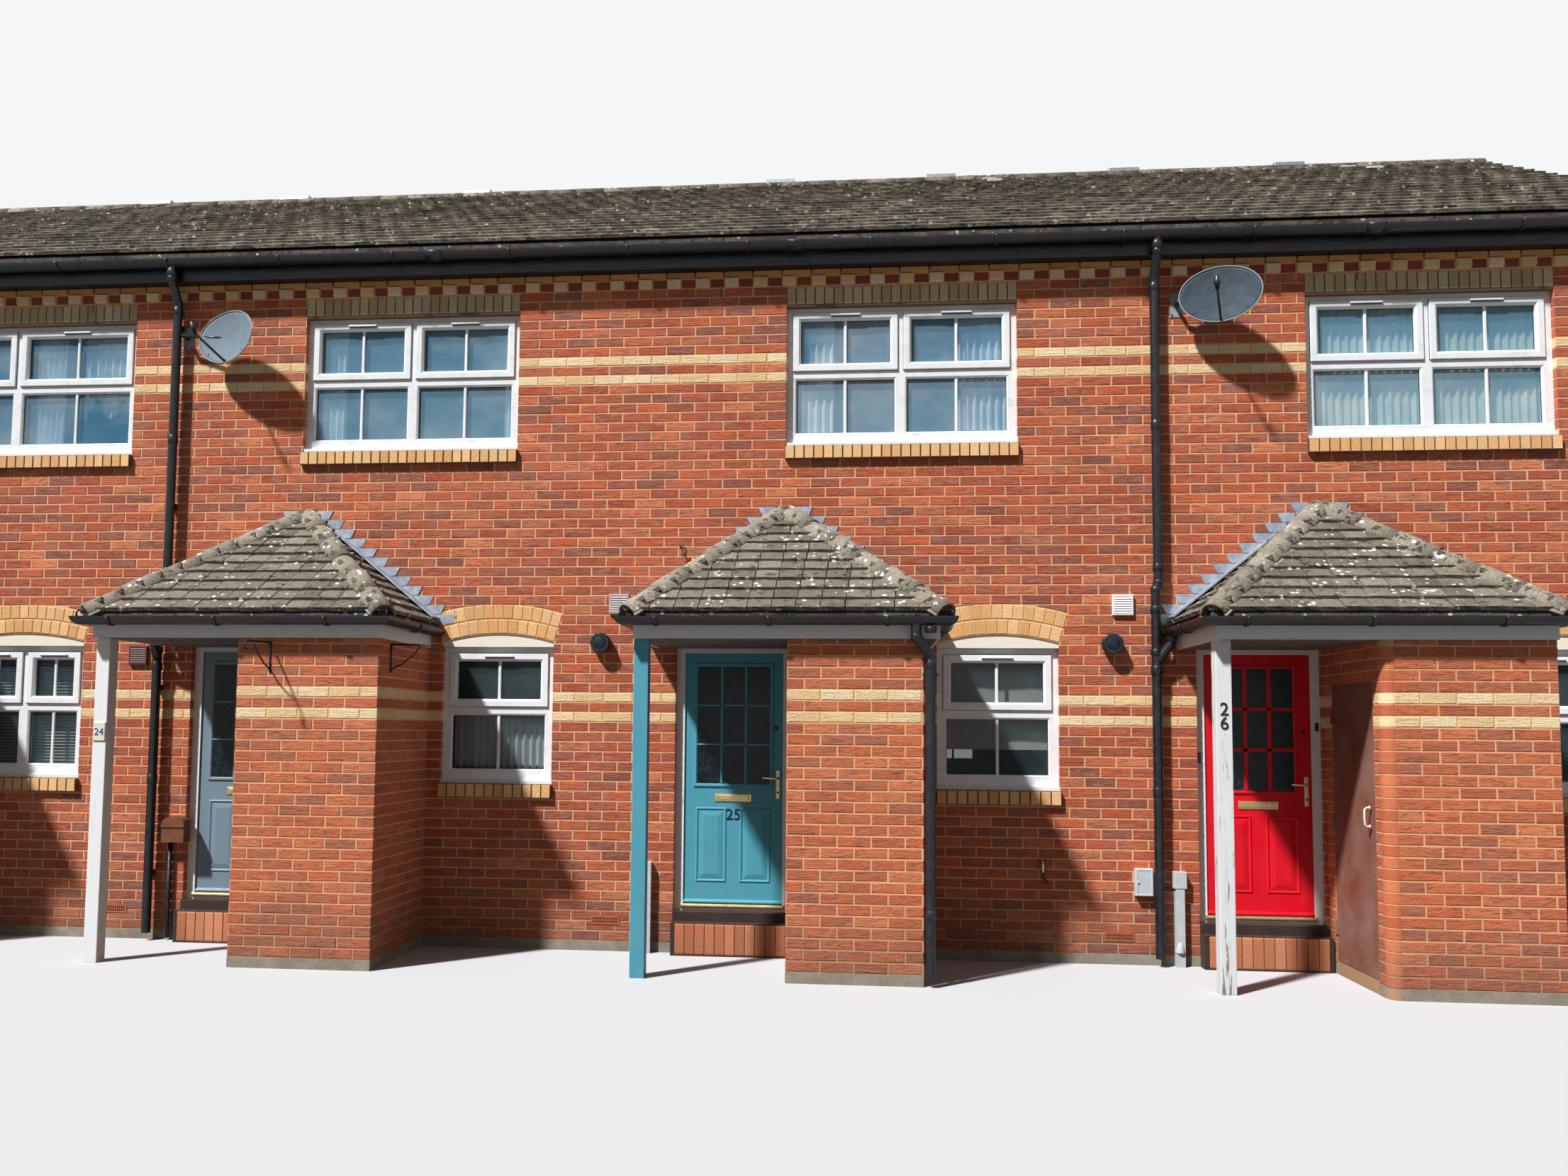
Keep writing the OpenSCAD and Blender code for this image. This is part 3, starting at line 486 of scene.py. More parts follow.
finishes = {
    "brick": firedBrick("firedBrick"),
    "smoothBrick": firedBrick("smoothBrick", 0.25),
    "mortar": mortarFinish("mortar", "F2C28E", "DDAA76"),
    # dark mortar, also used as painted shade over the upper window heads
    "darkMortarAndShade": mortarFinish("darkMortarAndShade", "7A5C42", "64493A", "4A3529"),
    "blockwork": concreteFinish("blockwork", "A59D92", "857D72"),
    "tile": tileFinish("roofTile", 0.52, 0.535),
    "porchTile": tileFinish("porchTile", 0.5, 0.57, "F2EFE6"),
    "lead": leadFinish("lead"),
    "black": blackPlastic("blackPlastic"),
    "blackBoard": blackBoard("blackBoard"),
    "greyBoard": paintedWood("greyBoard", "EEF2F5", "8E8678", 0.4, (0.1, 1, 1), 0.6),
    "creamBoard": paintedWood("creamBoard", "F0E8D8", "B9AD98", 0.1, (0.1, 1, 1), 0.5),
    "whitePlastic": whiteFrame("whitePlastic"),
    "glass": windowGlassPaintedSky("windowGlassPaintedSky", "5A9CC0", "96C6E0", "E4F0F8"),
    # a darker painted reflection, with painted shade, for the lower windows under the porches
    "lowGlass": windowGlassPaintedSky("lowWindowGlassPaintedSky", "2C3E44", "4A6068", "71858A"),
    "obscure": obscureGlass("obscureGlass"),
    "teal": paintedWood("tealPaint", "4B9AAE", "39606C", 0.0, (1, 1, 0.2), 0.45, 0.1),
    "tealPost": paintedWood("tealPost", "4C9BB0", "2F6678", 0.3, (1, 1, 0.1), 0.5, 0.2),
    "red": paintedWood("redPaint", "DC011E", "8A0614", 0.0, (1, 1, 0.2), 0.4, 0.05),
    "green": paintedWood("greenPaint", "5E7A60", "37473A", 0.05, (1, 1, 0.2), 0.38),
    "paleBlue": paintedWood("paleBluePaint", "738896", "63717C", 0.0, (1, 1, 0.2), 0.45, 0.1),
    "white": paintedWood("whitePaint", "ECEDEE", "8F8474", 0.25, (1, 1, 0.1), 0.5),
    "flaking": paintedWood("flakingPaint", "DFE2E4", "8C8476", 0.7, (1, 1, 0.08), 0.55),
    "brown": paintedWood("brownPaint", "7A4A36", "4B2C22", 0.15, (1, 1, 0.15), 0.5),
    "gold": metalFinish("brassGold", "BFA97C", 0.5, "A48E62"),
    # dark metal, also used for painted shade round the sashes, under the window vents and in the air bricks'
    # holes
    "darkMetal": metalFinish("darkMetal", "30343A", 0.45, "14161A"),
    "greyMetal": metalFinish("greyMetal", "8A8F94", 0.4, "6C7176"),
    "dishPale": plainPlastic("dishPale", "73828D", "5D6C76", 0.7),
    "dishGrey": plainPlastic("dishGrey", "35414B", "4D5A65", 0.7),
    "dishRim": plainPlastic("dishRim", "9FA9AF", "7E898F", 0.5),
    "rust": plainPlastic("rustBrown", "7A4B35", "4B3128", 0.7),
    "airBrick": plainPlastic("airBrick", "B5653F", "8A4B35", 0.85),
    "vent": plainPlastic("ventGrey", "BDB3B1", "968C89"),
    "brownVent": plainPlastic("ventBrown", "5A3B32", "3B2620"),
    "box": plainPlastic("meterBox", "C6CDD0", "A9AFB0"),
    "concrete": concreteFinish("concrete", "AA9F90", "857A6B"),
    "bedding": concreteFinish("beddingMortar", "C2B7A3", "8F8674"),
    "darkTile": concreteFinish("darkSillTile", "3E2A24", "271B18"),
    "cream": plainPlastic("creamEnamel", "E9E2CC", "D9CFB4", 0.4),
    "blue": plainPlastic("blueEnamel", "2F5FA8", "26508F", 0.4),
    # porch ceiling boards painted dark: painted shade under the porch roofs
    "shadedCeilingBoard": paintedWood("shadedCeilingBoard", "4A4440", "2E2A27", 0.1, (0.1, 1, 1), 0.7),
    "boards": paintedWood("floorBoards", "A98660", "7D603F", 0.2, (0.1, 1, 1), 0.6),
    "curtain": curtainFinish("netCurtain", "F2F6F6", "D8E2E4"),
    "voile": curtainFinish("greenVoile", "DCE0CC", "B9C0A8"),
    "blind": plainPlastic("rollerBlind", "E6EDE8", "CFD8D2", 0.8),
}
print("finishes made:", len(finishes))


# A Geometry Nodes tree that lays one piece on every point, by the point's own size, turn and tint
def layingTree():
    tree = bpy.data.node_groups.new("layPieces", "GeometryNodeTree")
    face = tree.interface
    sockets = {}
    for name, kind in (("Places", "Geometry"), ("Piece", "Object"), ("Finish", "Material"),
                       ("Loose turn", "Float"), ("Loose place", "Float"), ("Seed", "Int")):
        sockets[name] = face.new_socket(name=name, in_out="INPUT", socket_type="NodeSocket" + kind).identifier
    face.new_socket(name="Laid", in_out="OUTPUT", socket_type="NodeSocketGeometry")
    nodes, links = tree.nodes, tree.links
    given = nodes.new("NodeGroupInput")
    result = nodes.new("NodeGroupOutput")
    piece = nodes.new("GeometryNodeObjectInfo")
    links.new(given.outputs["Piece"], piece.inputs["Object"])

    def stored(name):
        node = nodes.new("GeometryNodeInputNamedAttribute")
        node.data_type = "FLOAT_VECTOR"
        node.inputs["Name"].default_value = name
        return node.outputs["Attribute"]

    def loose(amount, salt):
        spread = nodes.new("FunctionNodeRandomValue")
        spread.data_type = "FLOAT_VECTOR"
        spread.inputs[0].default_value = (-1, -1, -1)
        spread.inputs[1].default_value = (1, 1, 1)
        seed = nodes.new("ShaderNodeMath")
        seed.inputs[1].default_value = salt
        links.new(given.outputs["Seed"], seed.inputs[0])
        links.new(seed.outputs[0], spread.inputs["Seed"])
        scaled = nodes.new("ShaderNodeVectorMath")
        scaled.operation = "SCALE"
        links.new(spread.outputs[0], scaled.inputs[0])
        links.new(given.outputs[amount], scaled.inputs["Scale"])
        return scaled.outputs[0]

    turned = nodes.new("ShaderNodeVectorMath")
    links.new(stored("turn"), turned.inputs[0])
    links.new(loose("Loose turn", 1), turned.inputs[1])
    rotation = nodes.new("FunctionNodeEulerToRotation")
    links.new(turned.outputs[0], rotation.inputs[0])
    shifted = nodes.new("GeometryNodeSetPosition")
    links.new(given.outputs["Places"], shifted.inputs["Geometry"])
    links.new(loose("Loose place", 2), shifted.inputs["Offset"])
    lay = nodes.new("GeometryNodeInstanceOnPoints")
    links.new(shifted.outputs[0], lay.inputs["Points"])
    links.new(piece.outputs["Geometry"], lay.inputs["Instance"])
    links.new(rotation.outputs[0], lay.inputs["Rotation"])
    links.new(stored("size"), lay.inputs["Scale"])
    real = nodes.new("GeometryNodeRealizeInstances")
    links.new(lay.outputs[0], real.inputs[0])
    painted = nodes.new("GeometryNodeSetMaterial")
    links.new(real.outputs[0], painted.inputs["Geometry"])
    links.new(given.outputs["Finish"], painted.inputs["Material"])
    links.new(painted.outputs[0], result.inputs[0])
    return tree, sockets


layTree, laySockets = layingTree()


def layPieces(name, shape, places, finish, slot, looseTurn=0.0, loosePlace=0.0, seed=1):
    mesh = bpy.data.meshes.new(name + "Places")
    mesh.from_pydata([wallPoint(p["at"]) for p in places], [], [])
    for key in ("size", "turn"):
        values = mesh.attributes.new(key, "FLOAT_VECTOR", "POINT")
        scale = 0.001 if key == "size" else 1.0
        values.data.foreach_set("vector", [v * scale for p in places for v in p.get(key, (0, 0, 0))])
    tints = mesh.attributes.new("tint", "FLOAT_COLOR", "POINT")
    tints.data.foreach_set("color", [v for p in places for v in p.get("tint", (1, 1, 1, 0))])
    holder = bpy.data.objects.new(name + "Places", mesh)
    original = bpy.data.objects.new(name + "Shape", shape)
    for obj in (holder, original):
        bpy.context.collection.objects.link(obj)
    layer = holder.modifiers.new("lay", "NODES")
    layer.node_group = layTree
    inputs = {"Piece": original, "Finish": finishes[finish], "Seed": seed,
              "Loose turn": looseTurn, "Loose place": loosePlace}
    for key, value in inputs.items():
        layer[laySockets[key]] = value
    ready = holder.evaluated_get(bpy.context.evaluated_depsgraph_get())
    laid = bpy.data.meshes.new_from_object(ready)
    holder.modifiers.remove(layer)
    for obj in (holder, original):
        bpy.data.objects.remove(obj)
    for key in ("size", "turn"):
        if key in laid.attributes:
            laid.attributes.remove(laid.attributes[key])
    return keep(name, laid, finish, "row", slot)


def keep(name, mesh, finish, body, slot, bevel=0.0):
    mesh.name = name
    mesh.materials.clear()
    mesh.materials.append(finishes[finish])
    piece = bpy.data.objects.new(name, mesh)
    bpy.context.collection.objects.link(piece)
    if bevel:
        edge = piece.modifiers.new("edge", "BEVEL")
        edge.width = bevel / 1000
        edge.segments = 2
        edge.limit_method = "ANGLE"
    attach(piece, body)
    return piece


# Four corners for each step of (inset, y) from the edge of a rectangle
def insetCorners(rect, steps):
    x0, z0, x1, z1 = rect
    points = []
    for inset, y in steps:
        points += [(x0 + inset, y, z0 + inset), (x1 - inset, y, z0 + inset),
                   (x1 - inset, y, z1 - inset), (x0 + inset, y, z1 - inset)]
    return points


# Collects points and faces of one piece in millimetres
class Shape:
    def __init__(self):
        self.points = []
        self.faces = []
        self.tints = []
        self.smooth = []

    def add(self, points, faces, tint=(1, 1, 1, 0), smooth=False):
        start = len(self.points)
        self.points += [tuple(p) for p in points]
        self.tints += [tint] * len(points)
        self.faces += [tuple(start + i for i in face) for face in faces]
        self.smooth += [smooth] * len(faces)

    def block(self, low, high, tint=(1, 1, 1, 0)):
        (a, b, c), (d, e, f) = low, high
        points = [(a, b, c), (d, b, c), (d, e, c), (a, e, c), (a, b, f), (d, b, f), (d, e, f), (a, e, f)]
        faces = [(0, 3, 2, 1), (4, 5, 6, 7), (0, 1, 5, 4), (1, 2, 6, 5), (2, 3, 7, 6), (3, 0, 4, 7)]
        self.add(points, faces, tint)

    # two outlines with as many points each, joined all round
    def prism(self, front, back, tint=(1, 1, 1, 0)):
        n = len(front)
        faces = [tuple(range(n)), tuple(reversed(range(n, 2 * n)))]
        faces += [(k, k + n, (k + 1) % n + n, (k + 1) % n) for k in range(n)]
        self.add(list(front) + list(back), faces, tint)

    # a loop of (inset, y) swept round a rectangle with mitred corners
    def ring(self, rect, profile):
        n = 4 * len(profile)
        faces = []
        for start in range(0, n, 4):
            for k in range(4):
                a, b = start + k, start + (k + 1) % 4
                faces.append((a, b, (b + 4) % n, (a + 4) % n))
        self.add(insetCorners(rect, profile), faces)

    # a panel with a sloped edge: steps of (inset, y) from the edge to the middle, closed in front and behind
    def panel(self, rect, steps, back):
        last = 4 * len(steps)
        faces = [(3, 2, 1, 0)]
        for start in range(0, last, 4):
            for k in range(4):
                a, b = start + k, start + (k + 1) % 4
                faces.append((a, b, b + 4, a + 4))
        faces.append((last, last + 1, last + 2, last + 3))
        self.add(insetCorners(rect, [(0, back)] + list(steps)), faces)

    def tube(self, path, radius, sides=10, closed=True):
        path = [Vector(p) for p in path]
        radii = radius if isinstance(radius, (list, tuple)) else [radius] * len(path)
        points = []
        before = None
        for i, p in enumerate(path):
            ahead = (path[min(i + 1, len(path) - 1)] - path[max(i - 1, 0)]).normalized()
            if before is None:
                side = ahead.orthogonal().normalized()
            else:
                side = (before - ahead * before.dot(ahead)).normalized()
            before = side
            other = ahead.cross(side)
            for k in range(sides):
                a = 2 * math.pi * k / sides
                points.append(p + (side * math.cos(a) + other * math.sin(a)) * radii[i])
        faces = []
        for i in range(len(path) - 1):
            for k in range(sides):
                a, b = i * sides + k, i * sides + (k + 1) % sides
                faces.append((a, b, b + sides, a + sides))
        if closed:
            faces.append(tuple(reversed(range(sides))))
            faces.append(tuple((len(path) - 1) * sides + k for k in range(sides)))
        self.add(points, faces, smooth=True)

    def made(self, name, finish, body, slot, bevel=0.0):
        mesh = bpy.data.meshes.new(name)
        mesh.from_pydata([wallPoint(p) for p in self.points], [], self.faces)
        mesh.polygons.foreach_set("use_smooth", self.smooth)
        tints = mesh.attributes.new("tint", "FLOAT_COLOR", "POINT")
        tints.data.foreach_set("color", [v for t in self.tints for v in t])
        mesh.validate()
        turnOut(mesh)
        return keep(name, mesh, finish, body, slot, bevel)


def turnOut(mesh):
    work = bmesh.new()
    work.from_mesh(mesh)
    bmesh.ops.recalc_face_normals(work, faces=work.faces)
    work.to_mesh(mesh)
    work.free()


def unitMesh(name, points, faces, smooth=False):
    mesh = bpy.data.meshes.new(name)
    mesh.from_pydata(points, [], faces)
    mesh.polygons.foreach_set("use_smooth", [smooth] * len(faces))
    turnOut(mesh)
    return mesh


# Bricks
brickPlan = {
    "stretcher": 225,
    "course": 75,
    "joint": 10,
    "proud": 3,
    "phase": -4917.5,
    "clays": (("C8603A", 0.30), ("BD5536", 0.24), ("D0704A", 0.15),
              ("B0583F", 0.14), ("9C5748", 0.10), ("D97E54", 0.07)),
    "cream": ("F4D5A5", "F6DDB3", "EFCD98"),
    "buff": ("E8B67E", "E1AB70", "ECC08A"),
    "arch": ("E6B378", "E0A96B", "EBBC86"),
    "shaded": ("CBB998", "BCA988", "D5C4A3"),
    # red headers recessed between the dentils, darker than the wall's clays: painted shade in the recess
    "eavesRedShaded": ("8E4234", "7C3B30"),
    "eavesBuff": ("D79A5C", "E0A566", "CC9054"),
    "corner": ("C46A45", "BA6040", "CC754D"),
    "storeWash": "CE7A50",
    "bandCourses": (60, 58, 25, 23),
    "dentilCourse": 68,
    "dentilOut": 28,
    "eavesTop": (5180, 5219),
    "archSpring": 2335,
    "archRise": 65,
    "archRing": 231,
    "archCourse": 34,
    "soldiers": (4953, 5087),
    "sillOut": 20,
    "sillBrick": (22, 103),
    "baseTop": 74,
    "seed": 7,
}
course = brickPlan["course"]
halfJoint = brickPlan["joint"] / 2
halfBrick = brickPlan["stretcher"] / 2
proud = brickPlan["proud"]
random.seed(brickPlan["seed"])
unitBrick = unitMesh("unitBrick", [(u, 0, w) for u, w in ((-.5, -.5), (.5, -.5), (.5, .5), (-.5, .5))] +
                     [(u, -1, w) for u, w in ((-.486, -.455), (.486, -.455), (.486, .455), (-.486, .455))],
                     [(0, 1, 2, 3), (4, 7, 6, 5), (0, 4, 5, 1), (1, 5, 6, 2), (2, 6, 7, 3), (3, 7, 4, 0)])


# Foot and top of the bricks in a course
def courseSpan(n):
    return n * course + halfJoint, (n + 1) * course - halfJoint


def clayTint():
    pick = random.random()
    for code, share in brickPlan["clays"]:
        pick -= share
        if pick <= 0:
            break
    light = random.uniform(0.8, 1.16)
    return tuple(min(c * light, 1) for c in colour(code)[:3]) + (random.uniform(0.15, 0.95),)


def plainTint(codes, spread=0.06):
    base = colour(random.choice(codes))
    light = random.uniform(1 - spread, 1 + spread)
    return tuple(min(c * light, 1) for c in base[:3]) + (0.0,)


# Spans of the bricks in a course; a cut brick under the shortest length joins its neighbour
def courseBricks(a, b, offset, shortest=45):
    pitch = brickPlan["stretcher"]
    k = math.floor((a - offset) / pitch)
    bricks = []
    while offset + k * pitch < b:
        lo = max(a, offset + k * pitch + halfJoint)
        hi = min(b, offset + (k + 1) * pitch - halfJoint)
        if hi - lo > 4:
            bricks.append([lo, hi])
        k += 1
    if len(bricks) > 1 and bricks[0][1] - bricks[0][0] < shortest:
        bricks[1][0] = bricks[0][0]
        bricks.pop(0)
    if len(bricks) > 1 and bricks[-1][1] - bricks[-1][0] < shortest:
        bricks[-2][1] = bricks[-1][1]
        bricks.pop()
    return bricks


def clearSpans(a, b, holes):
    spans = [(a, b)]
    for lo, hi in holes:
        cut = [part for start, end in spans for part in ((start, min(end, lo)), (max(start, hi), end))]
        spans = [(start, end) for start, end in cut if end - start > 12]
    return spans


# Where a hole cuts a course: a hole is (left, right, foot, top), or a function of the height
def holeAt(hole, z):
    if callable(hole):
        return hole(z)
    a, b, low, high = hole
    return (a, b) if low < z < high else None


# Bricks of a flat wall: start is where u = 0, angle turns the wall about the upright
def wallBricks(start, angle, reach, top, holes, offset, tintOf, skip=()):
    turn = math.radians(angle)
    along = Vector((math.cos(turn), math.sin(turn), 0))
    middle, ends = top(0.5 * (reach[0] + reach[1])), max(top(reach[0]), top(reach[1]))
    places = []
    n = 1
    while (n + 0.5) * course < middle or (n + 1) * course <= ends:
        if n not in skip:
            foot, head = courseSpan(n)
            gaps = [holeAt(hole, (n + 0.5) * course) for hole in holes]
            for a, b in clearSpans(reach[0], reach[1], [gap for gap in gaps if gap]):
                for lo, hi in courseBricks(a, b, offset + (0 if n % 2 else halfBrick)):
                    height = min(head, top(lo), top(hi)) - foot
                    if height < 15:
                        continue
                    base = Vector(start) + along * (0.5 * (lo + hi))
                    places.append({"at": (base.x, base.y, foot + height / 2), "turn": (0, 0, turn),
                                   "size": (hi - lo, proud, height), "tint": tintOf(n)})
        n += 1
    return places


def levelTop(z):
    return lambda u: z


def houseTint(n):
    if n in brickPlan["bandCourses"]:
        return plainTint(brickPlan["cream"])
    return clayTint()


def storeTint(n):
    tint = houseTint(n)
    if n in brickPlan["bandCourses"]:
        return tint
    warm = colour(brickPlan["storeWash"])
    return tuple(min(1, 1.08 * (0.62 * c + 0.38 * w)) for c, w in zip(tint[:3], warm)) + (0.7 * tint[3],)


# Radius, height of the centre and slope of the springing for the arch over a lower window
def archOf(w):
    rise = brickPlan["archRise"]
    radius = (w * w / 4 + rise * rise) / (2 * rise)
    centreZ = brickPlan["archSpring"] + rise - radius
    return radius, centreZ, (w / 2) / (brickPlan["archSpring"] - centreZ)


# The room that a lower window and its arch take in a course
def archHole(x, w):
    radius, centreZ, slope = archOf(w)
    outer = radius + brickPlan["archRing"]
    spring = centreZ + outer * math.cos(math.atan(slope))
    sill = windowPlan["lowerSill"]

    def hole(z):
        if z < sill - windowPlan["lowerSillCut"] or z > centreZ + outer:
            return None
        if z < brickPlan["archSpring"]:
            half = w / 2 if z > sill else w / 2 + 4
        elif z < spring:
            half = (z + 12 - centreZ) * slope
        else:
            half = outer * math.sin(math.atan(slope))
        return (x + w / 2 - half, x + w / 2 + half)
    return hole


def frontHoles():
    holes = []
    for i in houses:
        door = doorwayAt(i)
        holes.append((door, door + rowPlan["doorwayWidth"], 0, rowPlan["doorHead"]))
        x, w = windowSpan(i, "upper")
        sill = windowPlan["upperSill"] - windowPlan["upperSillCut"]
        holes.append((x, x + w, sill, brickPlan["soldiers"][1] + 7))
        holes.append(archHole(*windowSpan(i, "lower")))
        x0, x1 = storeEnds(i)
        holes.append((x0 + 2, x1 - 2, 0, rowPlan["storeTop"]))
    return holes


dentils = (brickPlan["dentilCourse"],)
places = wallBricks((0, 0, 0), 0, (-rowHalf, rowHalf), levelTop(rowPlan["wallTop"]), frontHoles(),
                    brickPlan["phase"], houseTint, dentils)
layPieces("front_bricks", unitBrick, places, "brick", "brick", 0.004, 0.0006, 3)
print("front bricks:", len(places))


# Eaves courses: projecting cream headers, red headers between them painted darker as shade in the recess, and
# stretchers above them
def eavesCourses(y, angle, name):
    places = []
    headers = courseSpan(brickPlan["dentilCourse"])
    out = brickPlan["dentilOut"]

    def lay(a, b, heights, out, tints, spread):
        a, b = max(a, -rowHalf), min(b, rowHalf)
        low, high = heights
        if b - a > 30:
            places.append({"at": ((a + b) / 2, y, (low + high) / 2), "size": (b - a, out + proud, high - low),
                           "turn": (0, 0, math.radians(angle)), "tint": plainTint(brickPlan[tints], spread)})

    x = brickPlan["phase"] - brickPlan["stretcher"] * 15
    while x < rowHalf:
        lay(x + 4, x + halfBrick - 4, headers, out, "cream", 0.06)
        lay(x + halfBrick + 4, x + 2 * halfBrick - 4, headers, 0, "eavesRedShaded", 0.1)
        lay(x + 5, x + brickPlan["stretcher"] - 5, brickPlan["eavesTop"], out, "eavesBuff", 0.06)
        x += brickPlan["stretcher"]
    layPieces(name, unitBrick, places, "smoothBrick", "brick", 0.002, 0.0, 5)


eavesCourses(0, 0, "eaves_headers_front")
eavesCourses(houseDepth, 180, "eaves_headers_back")


# Arch rings, soldiers and sills round the windows
def windowBricks():
    places = []
    joints = Shape()
    ring = brickPlan["archRing"] / 2
    low, high = brickPlan["soldiers"]

    def lay(at, size, tints, turn=0):
        places.append({"at": at, "size": size, "turn": (0, turn, 0),
                       "tint": plainTint(brickPlan[tints], 0.08)})

    for i in houses:
        x, w = windowSpan(i, "lower")
        radius, centreZ, slope = archOf(w)
        half = math.atan(slope)
        for inner in (radius, radius + ring):
            count = round(2 * half * (inner + 55) / 76)
            mid = inner + ring / 2
            for k in range(count):
                angle = -half + (k + 0.5) * 2 * half / count
                lay((x + w / 2 + mid * math.sin(angle), 0, centreZ + mid * math.cos(angle)),
                    (2 * half * mid / count - 9, proud + 1, ring - 9), "arch", angle)
        ux, uw = windowSpan(i, "upper")
        count = round(uw / 73)
        for k in range(count):
            lay((ux + (k + 0.5) * uw / count, 0, (low + high) / 2),
                (uw / count - 9, proud + 1, high - low), "shaded")
        deep, tall = brickPlan["sillBrick"]
        for sx, sw, top in ((ux, uw, windowPlan["upperSill"]), (x, w, windowPlan["lowerSill"])):
            count = round((sw + 8) / 74)
            for k in range(count):
                lay((sx - 4 + (k + 0.5) * (sw + 8) / count, -brickPlan["sillOut"], top - 51),
                    ((sw + 8) / count - 10, deep, tall), "buff")
        joints.block((ux, -1.5, low - 3), (ux + uw, 0, high - 1))
        # dark strip under the soldiers across the window head: painted shade of the gap over the frame
        joints.block((ux, -1, low - 19), (ux + uw, windowPlan["recess"] - 0.5, low - 5))
    joints.made("soldier_joints", "darkMortarAndShade", "row", "sill_brick")
    layPieces("window_bricks", unitBrick, places, "smoothBrick", "sill_brick", 0.004, 0.0005, 9)


windowBricks()


# Cut ends of the bricks in the sides of the openings
def revealBricks():
    shape = Shape()
    deep = windowPlan["recess"] - 0.5
    for i in houses:
        for (x, w), low, high in (
                (windowSpan(i, "upper"), windowPlan["upperSill"], windowPlan["upperHead"] - 15),
                (windowSpan(i, "lower"), windowPlan["lowerSill"], brickPlan["archSpring"] - 5),
                ((doorwayAt(i), rowPlan["doorwayWidth"]), rowPlan["stepTop"], rowPlan["doorHead"])):
            n = math.ceil(low / course)
            while (n + 1) * course <= high + 20:
                foot, top = courseSpan(n)
                for side, edge in ((1, x), (-1, x + w)):
                    a, b = sorted((edge, edge + side * 1.5))
                    shape.block((a, -proud, foot), (b, deep, min(top, high)), houseTint(n))
                n += 1
    shape.made("reveal_bricks", "smoothBrick", "row", "brick")


revealBricks()


# Bricks cut to the curve over each arch
def archFillers():
    shape = Shape()
    low, high = courseSpan(brickPlan["archCourse"])
    for i in houses:
        x, w = windowSpan(i, "lower")
        radius, centreZ, slope = archOf(w)
        outer = radius + brickPlan["archRing"] + 8
        reach = (radius + brickPlan["archRing"]) * math.sin(math.atan(slope))
        middle = x + w / 2
        for lo, hi in courseBricks(middle - reach, middle + reach, brickPlan["phase"] + halfBrick, 20):
            curve = []
            for k in range(7):
                u = lo + (hi - lo) * k / 6
                z = centreZ + math.sqrt(outer * outer - (u - x - w / 2) ** 2)
                curve.append((u, min(max(z, low), high)))
            if min(z for u, z in curve) > high - 15:
                continue
            outline = curve + [(u, high) for u, z in reversed(curve)]
            shape.prism([(u, -proud, z) for u, z in outline], [(u, 0, z) for u, z in outline], clayTint())
    shape.made("arch_filler_bricks", "brick", "row", "brick")


archFillers()


# Back wall and the two end walls
def backHoles():
    door = (rowPlan["backDoorOffset"], rowPlan["doorwayWidth"])
    window = (rowPlan["backWindowOffset"], rowPlan["backWindowWidth"])
    lowerFoot, upperFoot = (windowPlan[floor + "Sill"] - windowPlan[floor + "SillCut"]
                            for floor in ("lower", "upper"))
    holes = []
    for i in houses:
        for (offset, width), low, high in ((door, 0, rowPlan["doorHead"]),
                                           (window, lowerFoot, rowPlan["doorHead"]),
                                           (window, upperFoot, windowPlan["upperHead"])):
            right = partyLine(i) + offset + width
            holes.append((-right, -(right - width), low, high))
    return holes


def gableTop(u):
    y = min(max(u, 0), houseDepth)
    return rowPlan["gableFoot"] + rowPlan["roofSlope"] * min(y, houseDepth - y) - 6


for name, start, angle, reach, top, holes, skip, seed in (
        ("back_bricks", (0, houseDepth, 0), 180, (-rowHalf, rowHalf), levelTop(rowPlan["wallTop"]),
         backHoles(), dentils, 13),
        ("end_bricks_right", (rowHalf, 0, 0), 90, (0, houseDepth), gableTop, (), (), 17),
        ("end_bricks_left", (-rowHalf, houseDepth, 0), -90, (0, houseDepth), gableTop, (), (), 19)):
    places = wallBricks(start, angle, reach, top, holes, 0, houseTint, skip)
    layPieces(name, unitBrick, places, "brick", "brick", 0.004, 0.0006, seed)
print("walls bricked")


# Brick stores
def storeBricks():
    places = []
    deep, top = rowPlan["storeDepth"], levelTop(rowPlan["storeTop"])
    door = (rowPlan["storeDoorOffset"], rowPlan["storeDoorOffset"] + rowPlan["storeDoorWidth"],
            rowPlan["storeDoorFoot"], rowPlan["storeDoorFoot"] + rowPlan["storeDoorHeight"])
    rounded = Shape()
    for i in houses:
        x0, x1 = storeEnds(i)
        nose = rowPlan["storeCorners"][i]
        places += wallBricks((0, -deep, 0), 0, (x0 + nose, x1), top, (), x0, storeTint)
        places += wallBricks((x1, -deep, 0), 90, (0, deep), top, (), halfBrick, storeTint)
        places += wallBricks((x0, 0, 0), -90, (0, deep - nose), top, (door,), deep - 9 * halfBrick, storeTint)
        if not nose:
            continue
        inner, outer = nose - 4, nose + proud
        for n in range(1, int(rowPlan["storeTop"] / course)):
            low, high = courseSpan(n)
            points = []
            for k in range(9):
                a = math.pi + math.pi / 2 * k / 8
                for r, z in ((inner, low), (outer, low), (outer, high), (inner, high)):
                    points.append((x0 + nose + r * math.cos(a), nose - deep + r * math.sin(a), z))
            faces = [(0, 1, 2, 3), (35, 34, 33, 32)]
            for k in range(0, 32, 4):
                for m in range(4):
                    faces.append((k + m, k + (m + 1) % 4, k + 4 + (m + 1) % 4, k + 4 + m))
            tints = "cream" if n in brickPlan["bandCourses"] else "corner"
            rounded.add(points, faces, plainTint(brickPlan[tints]))
    layPieces("store_bricks", unitBrick, places, "brick", "store_brick", 0.004, 0.0006, 23)
    rounded.made("store_corner_bricks", "smoothBrick", "row", "store_brick")


storeBricks()


